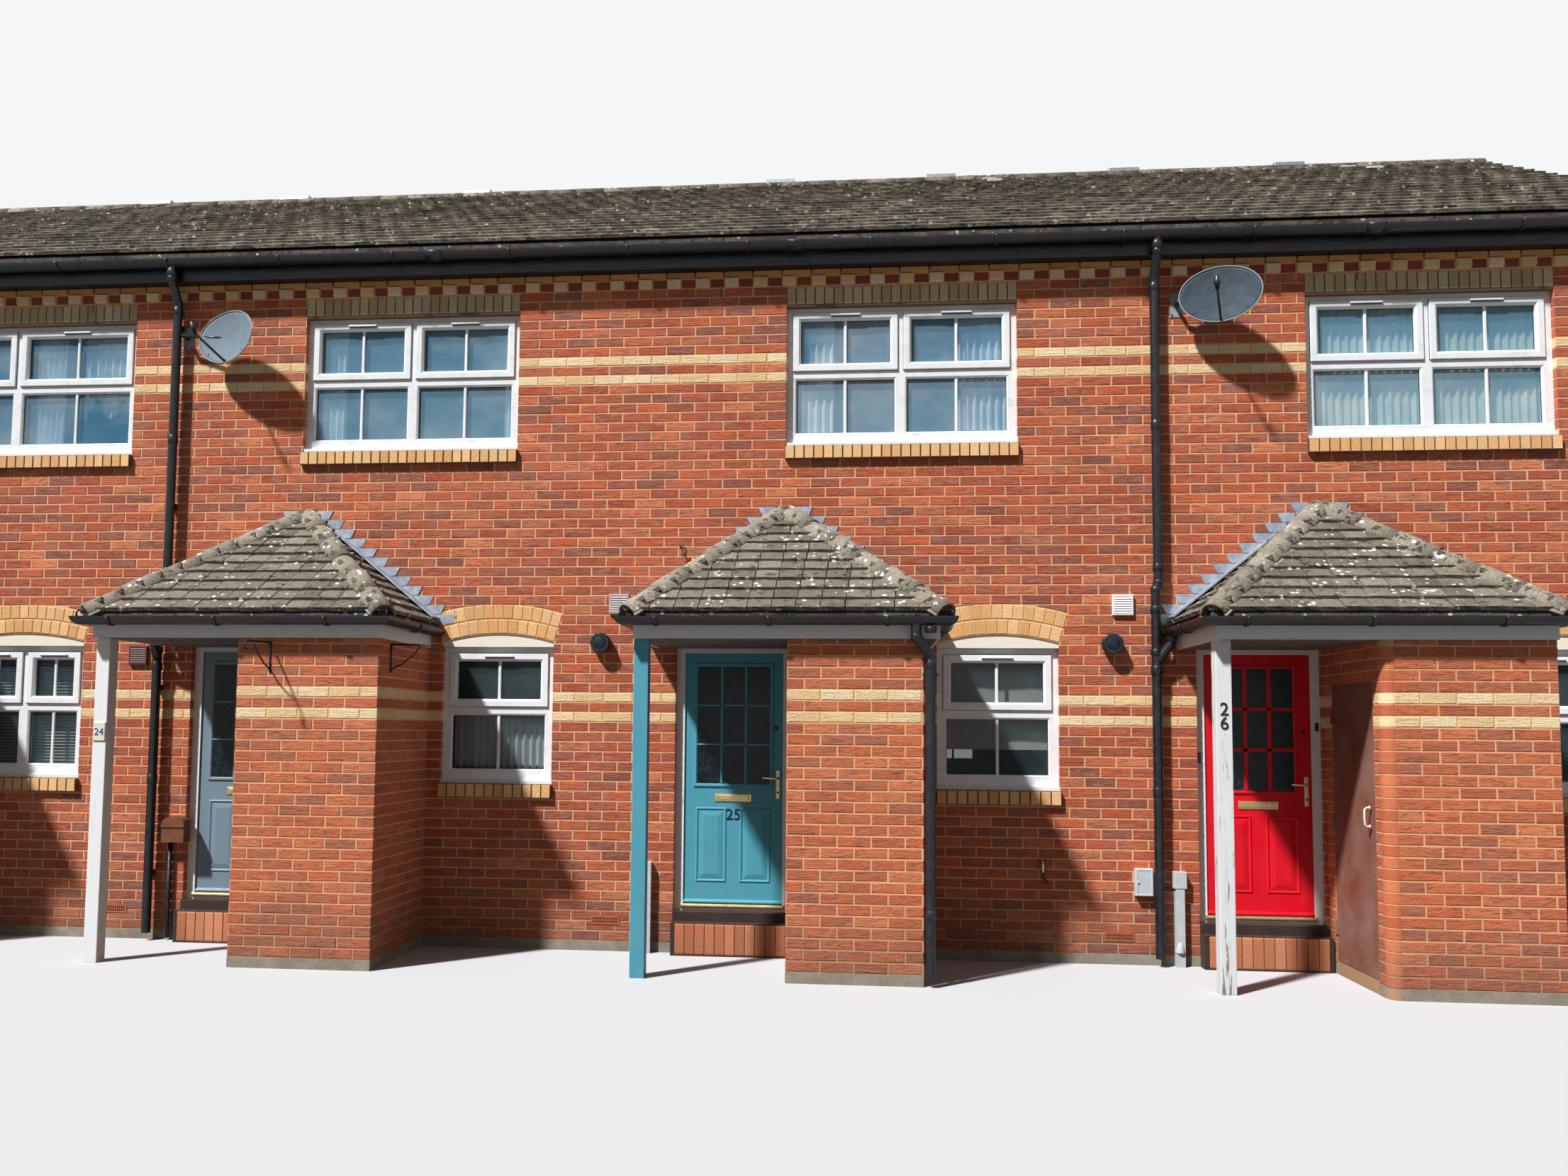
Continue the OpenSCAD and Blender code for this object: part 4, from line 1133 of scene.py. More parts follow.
# Concrete base course along the foot of the walls
def baseCourse():
    shape = Shape()
    deep, y, z = rowPlan["storeDepth"], -proud, brickPlan["baseTop"]
    left, right = rowPlan["storeDoorOffset"], rowPlan["storeDoorOffset"] + rowPlan["storeDoorWidth"]
    edges = [-rowHalf]
    backEdges = [-rowHalf]
    for i in houses:
        x0, x1 = storeEnds(i)
        nose = rowPlan["storeCorners"][i]
        shape.block((x0 + nose, -deep + y, 0), (x1, -deep, z))
        shape.block((x1, -deep, 0), (x1 - y, 0, z))
        shape.block((x0 + y, -left, 0), (x0, 0, z))
        shape.block((x0 + y, nose - deep, 0), (x0, -right, z))
        edges += [doorwayAt(i), doorwayAt(i) + rowPlan["doorwayWidth"]]
        door = partyLine(i) + rowPlan["backDoorOffset"]
        backEdges += [door, door + rowPlan["doorwayWidth"]]
    edges.append(rowHalf)
    backEdges.append(rowHalf)
    for a, b in zip(edges[::2], edges[1::2]):
        shape.block((a, y, 0), (b, 0, z))
    shape.block((-rowHalf + y, 0, 0), (-rowHalf, houseDepth, z))
    shape.block((rowHalf, 0, 0), (rowHalf - y, houseDepth, z))
    for a, b in zip(backEdges[::2], backEdges[1::2]):
        shape.block((a, houseDepth, 0), (b, houseDepth - y, z))
    shape.made("base_course", "concrete", "row", "floor_slab")


baseCourse()
print("stores bricked")

# Roofs
roofPlan = {
    "eavesOut": 175,
    "topAtWall": 5530,
    "verge": 7812.5,
    "courses": 18,
    "tileWidth": 165,
    "tileThickness": 25,
    "porchThickness": 27,
    "lap": 1.32,
    "ridgeRadius": 95,
    "ridgeLength": 300,
    "tints": ("6C6054", "7A6C5C", "5A4E42", "857868", "4B4035", "64584B", "352C24", "A4998A"),
    "porchTints": ("6C6257", "786E61", "60574D", "82786A", "564D43"),
}
roofSlope = rowPlan["roofSlope"]
unitTile = unitMesh("unitTile", [(-.5, 0, 0), (.5, 0, 0), (.5, 1, 0), (-.5, 1, 0), (-.49, 0.012, 1),
                                 (0, 0.004, 1.08), (.49, 0.012, 1), (.49, 1, 1), (0, 1, 1.08), (-.49, 1, 1)],
                    [(0, 3, 2, 1), (0, 1, 6, 5, 4), (2, 3, 9, 8, 7), (4, 5, 8, 9), (5, 6, 7, 8), (1, 2, 7, 6),
                     (3, 0, 4, 9)])


# Tiles of one slope from its tail line up: foot is a point of that line, axes are along, uphill and outwards
def slopeTiles(foot, axes, gauge, courses, spanAt, thick, tints, lift=0):
    along, uphill, normal = axes
    width = roofPlan["tileWidth"]
    places = []
    length = gauge * roofPlan["lap"]
    tip = math.atan(thick / length)
    for r in range(courses):
        a, b = spanAt(r * gauge)
        if b - a < 30:
            continue
        start = a - (width / 2 if r % 2 else 0)
        k = 0
        while start + k * width < b - 12:
            lo, hi = max(a, start + k * width + 1.5), min(b, start + (k + 1) * width - 1.5)
            k += 1
            if hi - lo < 14:
                continue
            at = foot + along * (0.5 * (lo + hi)) + uphill * (r * gauge) + normal * (thick + lift)
            turned = Matrix(axes).transposed() @ Matrix.Rotation(-tip, 3, "X")
            places.append({"at": at, "size": (hi - lo, length, thick), "turn": tuple(turned.to_euler()),
                           "tint": plainTint(tints, 0.24)})
    return places


def mainTiles():
    run = houseDepth / 2 + roofPlan["eavesOut"]
    rise = run * roofSlope
    length = math.hypot(run, rise)
    gauge = length / roofPlan["courses"]
    reach = roofPlan["verge"] - 2
    for name, side, seed in (("roof_tiles_front", 1, 31), ("roof_tiles_back", -1, 37)):
        uphill = Vector((0, side * run / length, rise / length))
        along = Vector((side, 0, 0))
        y = -roofPlan["eavesOut"] if side == 1 else houseDepth + roofPlan["eavesOut"]
        foot = Vector((0, y, roofPlan["topAtWall"] - roofPlan["eavesOut"] * roofSlope))
        places = slopeTiles(foot, (along, uphill, along.cross(uphill)), gauge, roofPlan["courses"],
                            lambda d: (-reach, reach), roofPlan["tileThickness"], roofPlan["tints"])
        layPieces(name, unitTile, places, "tile", "roof_tile", 0.006, 0.0012, seed)
        print(name, len(places))


mainTiles()


# A strip bent round part of a circle, between two radii: ridge and hip tiles, gutter straps
def bentStrip(name, ends, radii, angles):
    points = [(x, r * math.cos(a), r * math.sin(a)) for x in ends for r in radii for a in angles]
    n = len(angles)
    faces = []
    for k in range(n - 1):
        faces += [(k, k + 1, 2 * n + k + 1, 2 * n + k), (n + k, 3 * n + k, 3 * n + k + 1, n + k + 1),
                  (k, n + k, n + k + 1, k + 1), (2 * n + k, 2 * n + k + 1, 3 * n + k + 1, 3 * n + k)]
    faces += [(0, 2 * n, 3 * n, n), (n - 1, 2 * n - 1, 4 * n - 1, 3 * n - 1)]
    return unitMesh(name, points, faces, True)


def halfRound(name, radius, thick):
    return bentStrip(name, (0, 1), (radius, radius - thick), [math.pi * (12 - k) / 12 for k in range(13)])


def ridgeTiles():
    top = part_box("ridge")[1].z * 1000
    radius, verge = roofPlan["ridgeRadius"], roofPlan["verge"]
    count = round(2 * verge / roofPlan["ridgeLength"])
    pitch = 2 * verge / count
    places = []
    for k in range(count):
        places.append({"at": (-verge + k * pitch + 3, houseDepth / 2, top - radius - 3 * (k % 2)),
                       "size": (pitch - 6, 1000, 1000), "tint": plainTint(roofPlan["tints"], 0.1)})
    shape = halfRound("ridgeTile", radius / 1000, 0.016)
    piece = layPieces("ridge_tiles", shape, places, "tile", "ridge_tile", seed=41)
    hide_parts("ridge")


ridgeTiles()

# Raised vents on the ridge, as spans of x, and pairs of cowls on the front slope, as (x, y) of their middles
roofVentPlan = {
    "ridge": ((-5980, -5660), (-4430, -4110), (-2430, -2120), (786, 1080),
              (2418, 2718), (4230, 4534), (5836, 6122)),
    "ridgeUp": 24,
    "cowls": ((3088, 2800), (3050, 2930), (6716, 2800), (6520, 2930)),
    "cowlSize": (160, 90, 30),
}


def roofVents():
    plan = roofVentPlan
    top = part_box("ridge")[1].z * 1000
    up = plan["ridgeUp"]
    outline = ((-62, -24), (-46, up - 8), (-30, up), (30, up), (46, up - 8), (62, -24))
    caps, cowls = Shape(), Shape()
    for ends in plan["ridge"]:
        caps.prism(*[[(x, houseDepth / 2 + y, top + z) for y, z in outline] for x in ends])
    wide, deep, tall = plan["cowlSize"]
    for x, y in plan["cowls"]:
        z = roofPlan["topAtWall"] + y * roofSlope + roofPlan["tileThickness"] + 6
        points = [(x + u * wide, y + v * deep, z + v * deep * roofSlope + w * tall) for u, v, w in
                  ((-0.5, -0.5, 0), (0.5, -0.5, 0), (0.5, 0.5, 0), (-0.5, 0.5, 0),
                   (-0.44, -0.44, 1), (0.44, -0.44, 1), (0.4, 0.4, 0.7), (-0.4, 0.4, 0.7))]
        cowls.prism(points[:4], points[4:])
    caps.made("ridge_vents", "greyMetal", "row", "ridge_tile", 4)
    cowls.made("slope_vents", "vent", "row", "grey_plastic", 8)


roofVents()
print("main roof tiled")

# Porches
porchPlan = {
    "offsets": (100, 40, 109, 140),
    "widths": (2080, 2109, 2073, 2105),
    "tops": (0.5, 0.51, 0.47, 0.49),
    "depth": 1032,
    "tileOut": 45,
    "eaves": 2440,
    "edge": 20,
    "rise": 870,
    "gauge": 100,
    "hipRadius": 92,
    "hipLength": 300,
    "hipLift": 8,
    "hipDrop": 34,
    "hipTints": ("A59B8A", "978D7C", "B0A694"),
    "ironHouses": (1, 2),
    "ironCurl": ((-60, 14), (0, 4), (46, -6), (66, 8), (62, 34), (44, 44), (32, 32), (38, 22)),
    "ceiling": 2290,
    "post": 98,
}


def porchEnds(i):
    x = partyLine(i) + porchPlan["offsets"][i]
    return x, x + porchPlan["widths"][i]


# Left foot, top and right foot of a porch roof along x, and how far its foot stands out
def porchCorners(i):
    x0, x1 = porchEnds(i)
    xt = x0 + porchPlan["widths"][i] * porchPlan["tops"][i]
    return x0 - porchPlan["tileOut"], xt, x1 + porchPlan["tileOut"], porchPlan["depth"] + porchPlan["tileOut"]


def porchTiles():
    places = []
    rise = porchPlan["rise"]
    z = porchPlan["eaves"] + porchPlan["edge"]
    for i in houses:
        x0, xt, x1, out = porchCorners(i)
        # for each slope: outwards, along, foot, run, and its span at a distance d of the length up
        for outwards, along, foot, run, span in (
                ((0, -1, 0), (1, 0, 0), (0, -out, z), out,
                 lambda d, length: (x0 + (xt - x0) * d / length, x1 - (x1 - xt) * d / length)),
                ((-1, 0, 0), (0, -1, 0), (x0, 0, z), xt - x0, lambda d, length: (0, out * (1 - d / length))),
                ((1, 0, 0), (0, 1, 0), (x1, 0, z), x1 - xt, lambda d, length: (-out * (1 - d / length), 0))):
            length = math.hypot(run, rise)
            courses = max(1, round(length / (porchPlan["gauge"] * 1.22)))
            along = Vector(along)
            uphill = (-Vector(outwards) * run + Vector((0, 0, rise))) / length
            axes = (along, uphill, along.cross(uphill))
            places += slopeTiles(Vector(foot), axes, length / courses, courses, lambda d: span(d, length),
                                 roofPlan["porchThickness"], roofPlan["porchTints"], -12)
    layPieces("porch_tiles", unitTile, places, "porchTile", "roof_tile", 0.012, 0.0022, 53)
    print("porch tiles:", len(places))


porchTiles()


# Hip tiles, the mortar under their edges, and the curled irons at their feet
def hipTiles():
    hips = []
    bedding, irons = Shape(), Shape()
    radius, drop = porchPlan["hipRadius"], porchPlan["hipDrop"]
    z = porchPlan["eaves"] + porchPlan["edge"] + porchPlan["hipLift"]
    for i in houses:
        x0, xt, x1, out = porchCorners(i)
        for x in (x0, x1):
            foot = Vector((x, -out, z))
            way = Vector((xt, 0, z + porchPlan["rise"])) - foot
            reach = way.length - 40
            way.normalize()
            side = Vector((0, 0, 1)).cross(way).normalized()
            up = way.cross(side)
            turn = tuple(Matrix((way, side, up)).transposed().to_euler())
            count = round(reach / porchPlan["hipLength"])
            for k in range(count):
                hips.append({"at": foot + way * (k * reach / count + 2) - up * drop,
                             "size": (reach / count + 4, radius * 1000, (radius + 9 * (k % 2)) * 1000),
                             "turn": turn, "tint": plainTint(porchPlan["hipTints"], 0.1)})
            for edge in (-1, 1):
                start = foot + side * edge * (radius - 4) - up * (drop + 2)
                path = [start + way * (reach * k / 12) + up * random.uniform(-4, 4) for k in range(13)]
                bedding.tube(path, [random.uniform(10, 15) for k in path], 8)
            if i in porchPlan["ironHouses"]:
                ahead = Vector((way.x, way.y, 0)).normalized() * -1
                base = foot - up * 40 + ahead * 4
                irons.tube([base + ahead * a + Vector((0, 0, b)) for a, b in porchPlan["ironCurl"]], 7, 8)
    shape = halfRound("hipTile", 0.001, 0.0002)
    layPieces("porch_hip_tiles", shape, hips, "porchTile", "ridge_tile", 0.02, 0.001, 59)
    bedding.made("hip_bedding", "bedding", "row", "ridge_tile")
    irons.made("hip_irons", "darkMetal", "row", "black_plastic")
    print("hip tiles:", len(hips))


hipTiles()

# Stepped lead where the porch roofs meet the wall, over a band along the slope
leadPlan = {
    "reach": 75,
    "lift": 48,
    "band": 150,
    "bandTop": 60,
}


def leadSteps():
    shape = Shape()
    rise, out = porchPlan["rise"], leadPlan["reach"]
    z0 = porchPlan["eaves"] + porchPlan["edge"]
    limit = rowHalf - 3
    for i in houses:
        x0, xt, x1 = porchCorners(i)[:3]
        for side, edge in ((-1, x0), (1, x1)):
            run = abs(xt - edge)
            slope = Vector((-side * run, 0, rise))
            up = Vector((side * rise, 0, run)).normalized() * leadPlan["lift"]
            start = Vector((edge, 0, z0)) + slope * 0.02
            far = Vector((edge, 0, z0)) + slope * 0.93
            band = [start, start + Vector((0, -leadPlan["band"], 0)),
                    far + Vector((0, -leadPlan["bandTop"], 0)), far]
            shape.prism([p + up for p in band], [p + up * 1.25 for p in band])
            z = math.ceil((z0 + 40) / course) * course
            while z < z0 + rise + 70:
                low = z - course
                a, b = (edge - side * run * (height - z0) / rise for height in (low, z))
                outline = [(a - side * 30, low - 6), (a + side * (62 + out), low + 8),
                           (b + side * (190 + out), z), (b - side * 20, z)]
                outline = [(min(max(u, -limit), limit), w) for u, w in outline]
                front = -6 - 2 * (round(z / course) % 2)
                shape.prism([(u, front, w) for u, w in outline], [(u, -1, w) for u, w in outline])
                z += course
    shape.made("lead_steps", "lead", "row", "grey_paint_metal")


leadSteps()
print("porch roofs tiled")

# Rainwater goods
gutterPlan = {
    "radius": 56.5,
    "wide": 26,
    "mainY": -177.3,
    "mainZ": 5374,
    "porchY": -1089.3,
    "porchZ": 2432,
    "sideY": -520,
    "sideOut": 57.3,
    "bracketStart": 300,
    "bracketEvery": 930,
    "unions": (-5600, -1550, 1270, 5480),
    "unionSize": (5200, 1020, 1020),
    "porchShares": (0.08, 0.45, 0.83),
}


def gutterBrackets():
    plan = gutterPlan
    half = plan["wide"] / 2000
    shape = bentStrip("bracket", (-half, half), ((plan["radius"] + 9) / 1000, (plan["radius"] - 2) / 1000),
                      [math.pi + math.pi * k / 14 for k in range(15)])
    lines = (plan["mainY"], houseDepth - plan["mainY"])
    places = []

    def strap(x, y, z, size=(1000, 1000, 1000), turn=0):
        places.append({"at": (x, y, z), "size": size, "turn": (0, 0, turn)})

    x = -rowHalf + plan["bracketStart"]
    while x < rowHalf:
        for y in lines:
            strap(x, y, plan["mainZ"])
        x += plan["bracketEvery"]
    for x in plan["unions"]:
        for y in lines:
            strap(x, y, plan["mainZ"], plan["unionSize"])
    for i in houses:
        x0, x1 = porchEnds(i)
        for share in plan["porchShares"]:
            strap(x0 + share * (x1 - x0), plan["porchY"], plan["porchZ"])
        for x in (x0 - plan["sideOut"], x1 + plan["sideOut"]):
            strap(x, plan["sideY"], plan["porchZ"], turn=math.pi / 2)
    layPieces("gutter_brackets", shape, places, "black", "black_plastic")


gutterBrackets()


# Collars on the downpipes, and the branches that drain two porches into them
pipePlan = {
    "width": 68,
    "bends": ((-177.3, 5227), (-70, 5057)),
    "steps": {1: 55, 3: 20},
    "stepZ": 2780,
    "joints": (3950, 1250),
    "porchY": -1010,
    "porchSide": 46,
    "porchJoints": (2120, 470),
    "clip": (2040, 2062),
    "piped": (0, 2),
    "branches": ((1, 1), (3, 3)),
    "branchEnd": (-70, 2195),
    "branchY": {1: -190, 3: -90},
}


# A distance from the front wall's face or, behind, the same one from the back wall's
def wallY(y, behind):
    return houseDepth - y if behind else y


def collar(shape, x, y, z, radius, tall):
    half = tall / 2
    shape.tube([(x, y, z - half), (x, y, z - half + 4), (x, y, z + half - 4), (x, y, z + half)],
               [radius - 4, radius, radius, radius - 4], 20)


def pipeCollars():
    shape = Shape()
    plan = pipePlan
    radius = plan["width"] / 2
    (topY, topZ), (lowY, lowZ) = plan["bends"]
    for k, step in plan["steps"].items():
        x = partyLine(k)
        for behind in (False, True):
            y = wallY(lowY, behind)
            collar(shape, x, wallY(topY, behind), topZ + 48, radius + 6, 60)
            collar(shape, x, y, lowZ - 62, radius + 5, 60)
            collar(shape, x, y, plan["stepZ"] + 110, radius + 5, 56)
            collar(shape, x - step, y, plan["stepZ"] - 200, radius + 5, 56)
            for z in plan["joints"]:
                collar(shape, x if z > plan["stepZ"] else x - step, y, z, radius + 4, 70)
    y = plan["porchY"]
    for i in plan["piped"]:
        x = storeEnds(i)[1] + plan["porchSide"]
        collar(shape, x, gutterPlan["porchY"], 2345, radius + 5, 40)
        for z in plan["porchJoints"]:
            collar(shape, x, y, z, radius + 5, 60)
        shape.block((x - 52, y - 7, plan["clip"][0]), (x + 52, y + 7, plan["clip"][1]))
    y, z = plan["branchEnd"]
    for house, line in plan["branches"]:
        x0 = porchEnds(house)[0] - 57
        x1 = partyLine(line) - plan["steps"][line]
        out = plan["branchY"][house]
        path = [(x0, out, 2392), (x0, out, 2345), (x0 + 0.1 * (x1 - x0), 0.92 * out + 0.08 * y, 2318),
                (x1 + 0.3 * (x0 - x1), 0.3 * out + 0.7 * y, z + 42), (x1, y, z)]
        shape.tube(path, radius - 1, 18)
        collar(shape, x0, out, 2368, radius + 6, 42)
        collar(shape, x1, y, z + 70, radius + 7, 50)
        collar(shape, x1, y, z - 60, radius + 7, 70)
    shape.made("pipe_collars", "black", "row", "black_plastic")


pipeCollars()
print("rainwater goods fitted")


# One column of a window: a top light in its own sash over a fixed light
def windowColumn(frames, sealsAndShade, vents, a, b, z, head, transom, behind):
    plan = windowPlan

    def profile(key):
        return [(u, wallY(plan["recess"] + y, behind)) for u, y in plan[key]]

    over, width = plan["sashOverlap"], plan["sashWidth"]
    left, low, right, high = a - over, transom + plan["bar"] / 2 - over, b + over, head - plan["edge"] + over
    foot, under = z + plan["foot"], transom - plan["bar"] / 2
    frames.ring((left, low, right, high), profile("sash"))
    frames.ring((a, foot, b, under), profile("fixedLight"))
    # a dark line round each sash: painted shadow of the gap between sash and frame
    sealsAndShade.ring((left - 3, low - 3, right + 3, high + 3), profile("sashGapShade"))
    sealsAndShade.ring((left + width, low + width, right - width, high - width), profile("innerSeal"))
    sealsAndShade.ring((a + 14, foot + 14, b - 14, under - 14), profile("innerSeal"))
    mid = (a + b) / 2
    bar = [(mid + u, y) for u, y in profile("glazingBar")]
    for lo, hi in ((low + width, high - width), (foot + 14, under - 14)):
        frames.prism([(u, y, lo) for u, y in bar], [(u, y, hi) for u, y in bar])
    if not behind:
        face = plan["recess"]
        vents.block((mid - 115, face - 30, high - 28), (mid + 115, face - 14, high - 14))
        # a dark strip under each vent: painted shade under the vent's hood
        sealsAndShade.block((mid - 112, face - 24, high - 34), (mid + 112, face - 14, high - 28.2))


# Windows
def windowParts():
    frames, vents, cills, sealsAndShade = Shape(), Shape(), Shape(), Shape()
    plan = windowPlan
    for i in houses:
        back = (partyLine(i) + rowPlan["backWindowOffset"], rowPlan["backWindowWidth"])
        for (x, w), floor, head, behind in ((windowSpan(i, "upper"), "upper", plan["upperHead"], False),
                                            (windowSpan(i, "lower"), "lower", plan["lowerHead"], False),
                                            (back, "upper", plan["upperHead"], True),
                                            (back, "lower", rowPlan["doorHead"], True)):
            z = plan[floor + "Sill"]
            transom = z + (head - z) * (1 - plan[floor + "Share"])
            columns = 2 if w > 1000 else 1
            light = (w - 2 * plan["edge"] - (columns - 1) * plan["bar"]) / columns
            for c in range(columns):
                a = x + plan["edge"] + c * (light + plan["bar"])
                windowColumn(frames, sealsAndShade, vents, a, a + light, z, head, transom, behind)
            for near, far, low, high in plan["cills"]:
                y0, y1 = sorted(wallY(plan["recess"] + y, behind) for y in (near, far))
                cills.block((x + 1, y0, z + low), (x + w - 1, y1, z + high))
    frames.made("window_sashes", "whitePlastic", "row", "white_plastic", 1.2)
    sealsAndShade.made("window_seals", "darkMetal", "row", "black_plastic")
    vents.made("window_vents", "whitePlastic", "row", "white_plastic", 3)
    cills.made("window_cills", "whitePlastic", "row", "white_plastic", 3)


windowParts()

# Cloth behind the glass, in mm from the window's left side and its sill: name, house, floor,
# (start, width), (hem, top), folds, depth of a fold, finish and rise of the hem
curtainPlan = {
    "y": 150,
    "pieces": (
        ("voile_23_left", 0, "upper", (1140, 260), (70, 1040), 5, 22, "curtain", 0),
        ("voile_23_right", 0, "upper", (1560, 460), (330, 1040), 7, 20, "curtain", 170),
        ("folds_24", 1, "upper", (66, 220), (70, 1040), 4, 24, "curtain", 0),
        ("edge_24", 1, "upper", (1600, 88), (70, 1040), 2, 20, "curtain", 0),
        ("folds_25_left", 2, "upper", (66, 300), (70, 1040), 5, 24, "curtain", 0),
        ("folds_25_right", 2, "upper", (1290, 396), (70, 1040), 7, 26, "curtain", 0),
        ("voile_26", 3, "upper", (66, 1618), (70, 1040), 27, 20, "voile", 0),
        ("cafe_24", 1, "lower", (66, 750), (120, 560), 13, 18, "curtain", 26),
    ),
    "blind": (2, (70, 760), (300, 1000)),
    "slats": (0, (70, 908), (110, 1000), 25),
    "slat": ((-11, 0), (0, 5), (11, 13), (11, 14.5), (0, 6.5), (-11, 1.5)),
    "foldColumns": 12,
    "rows": 14,
}


def clothMesh(name, points, faces, smooth):
    mesh = bpy.data.meshes.new(name)
    mesh.from_pydata(points, [], faces)
    mesh.polygons.foreach_set("use_smooth", [smooth] * len(faces))
    return mesh, sum(face.area for face in mesh.polygons)


def gatheredCloth(name, house, floor, span, heights, folds, deep, finish, scallop):
    (start, wide), (foot, head) = span, heights
    x0, y0, z0 = windowSpan(house, floor)[0] + start, curtainPlan["y"], windowPlan[floor + "Sill"]
    columns, rows = folds * curtainPlan["foldColumns"], curtainPlan["rows"]
    sway = [random.uniform(0.6, 1.1) for k in range(folds + 1)]
    shift = [random.uniform(-0.35, 0.35) for k in range(folds + 1)]
    points = []
    for c in range(columns + 1):
        t = c / columns
        k = t * folds
        here = int(min(k, folds - 1))
        part = k - here
        size = sway[here] * (1 - part) + sway[here + 1] * part
        turn = shift[here] * (1 - part) + shift[here + 1] * part
        y = y0 + deep * size * math.sin(2 * math.pi * k + turn)
        lift = scallop * (0.5 - 0.5 * math.cos(2 * math.pi * k * (1 if scallop < 60 else 2 / folds)))
        for r in range(rows + 1):
            z = z0 + foot + lift + (head - foot - lift) * r / rows
            points.append(wallPoint((x0 + wide * t, y0 + (y - y0) * (1 - 0.35 * r / rows), z)))
    faces = [(c + r, c + rows + 1 + r, c + rows + 2 + r, c + r + 1)
             for c in range(0, columns * (rows + 1), rows + 1) for r in range(rows)]
    mesh, area = clothMesh(name, points, faces, True)
    tall = (head - foot) / 1000
    cloth = keep(name, mesh, finish, "row", "white_plastic")
    print(name, "flat", round(area / tall, 3), "by", round(tall, 3))


def rollerBlind():
    house, (start, wide), (foot, head) = curtainPlan["blind"]
    x0, y0, z0 = windowSpan(house, "lower")[0] + start, curtainPlan["y"], windowPlan["lowerSill"]
    columns = 16
    points = [wallPoint((x0 + wide * c / columns, y0 + 3 * math.sin(c * 0.9), z0 + z))
              for c in range(columns + 1) for z in (foot, head)]
    faces = [(c, c + 2, c + 3, c + 1) for c in range(0, 2 * columns, 2)]
    mesh, area = clothMesh("roller_blind_25", points, faces, False)
    keep("roller_blind_25", mesh, "blind", "row", "white_plastic")


def blindSlats():
    house, (start, wide), (foot, head), pitch = curtainPlan["slats"]
    x0, y0, z0 = windowSpan(house, "lower")[0] + start, curtainPlan["y"], windowPlan["lowerSill"]
    slats = Shape()
    for z in range(z0 + foot, z0 + head, pitch):
        slats.prism(*[[(u, y0 + y, z + w) for y, w in curtainPlan["slat"]] for u in (x0, x0 + wide)])
    slats.made("blind_slats_23", "blind", "row", "white_plastic")


for piece in curtainPlan["pieces"]:
    gatheredCloth(*piece)
rollerBlind()
blindSlats()
print("windows dressed")

# Doors. Heights are from the foot of the leaf, profiles are (inset, distance out from its face)
doorPlan = {
    "side": 61,
    "faceY": 63,
    "foot": 366,
    "leafWidth": 763,
    "glazing": (900, 1790),
    "bead": ((0, -1), (0, 4), (6, 9), (20, 9), (28, 3), (28, -1)),
    "panels": (158, 720),
    "panelBead": ((0, -1), (0, 2), (10, 7), (20, 2), (24, -1)),
    "panelField": ((0, 1), (34, 7), (40, 7)),
    "plateZ": 793,
    "plate": ((0, 3), (4, 7), (26, 7)),
    "flap": ((0, 9), (3, 11)),
    "handlePlate": ((0, 5), (3, 8)),
    "handleHeights": (790, 1005),
    "lever": ((0, 6, 945), (0, 42, 945), (-6, 50, 945), (-22, 54, 944), (-60, 53, 945), (-108, 50, 948),
              (-118, 46, 950)),
    "leverRadii": (10, 10, 10, 9, 8, 7.5, 4),
    "keyholeZ": 838,
    "lockZ": 1322,
    "drip": ((0, 4), (12, 6), (12, 14), (0, 30)),
    "numeralZ": 1035,
    "numeralHeight": 82,
}


# A profile on a face that looks to the street (out is -1) or to the back (out is 1)
def onFace(steps, face, out):
    return [(inset, face + out * d) for inset, d in steps]


def raisedPanel(shape, a, b, low, high, face, out):
    shape.ring((a - 12, low, b + 12, high), onFace(doorPlan["panelBead"], face, out))
    shape.panel((a + 16, low + 28, b - 16, high - 28), onFace(doorPlan["panelField"], face, out), face - out)


def handlePlate(shape, x, foot, face, out):
    low, high = doorPlan["handleHeights"]
    shape.panel((x - 15, foot + low, x + 15, foot + high), onFace(doorPlan["handlePlate"], face, out), face)


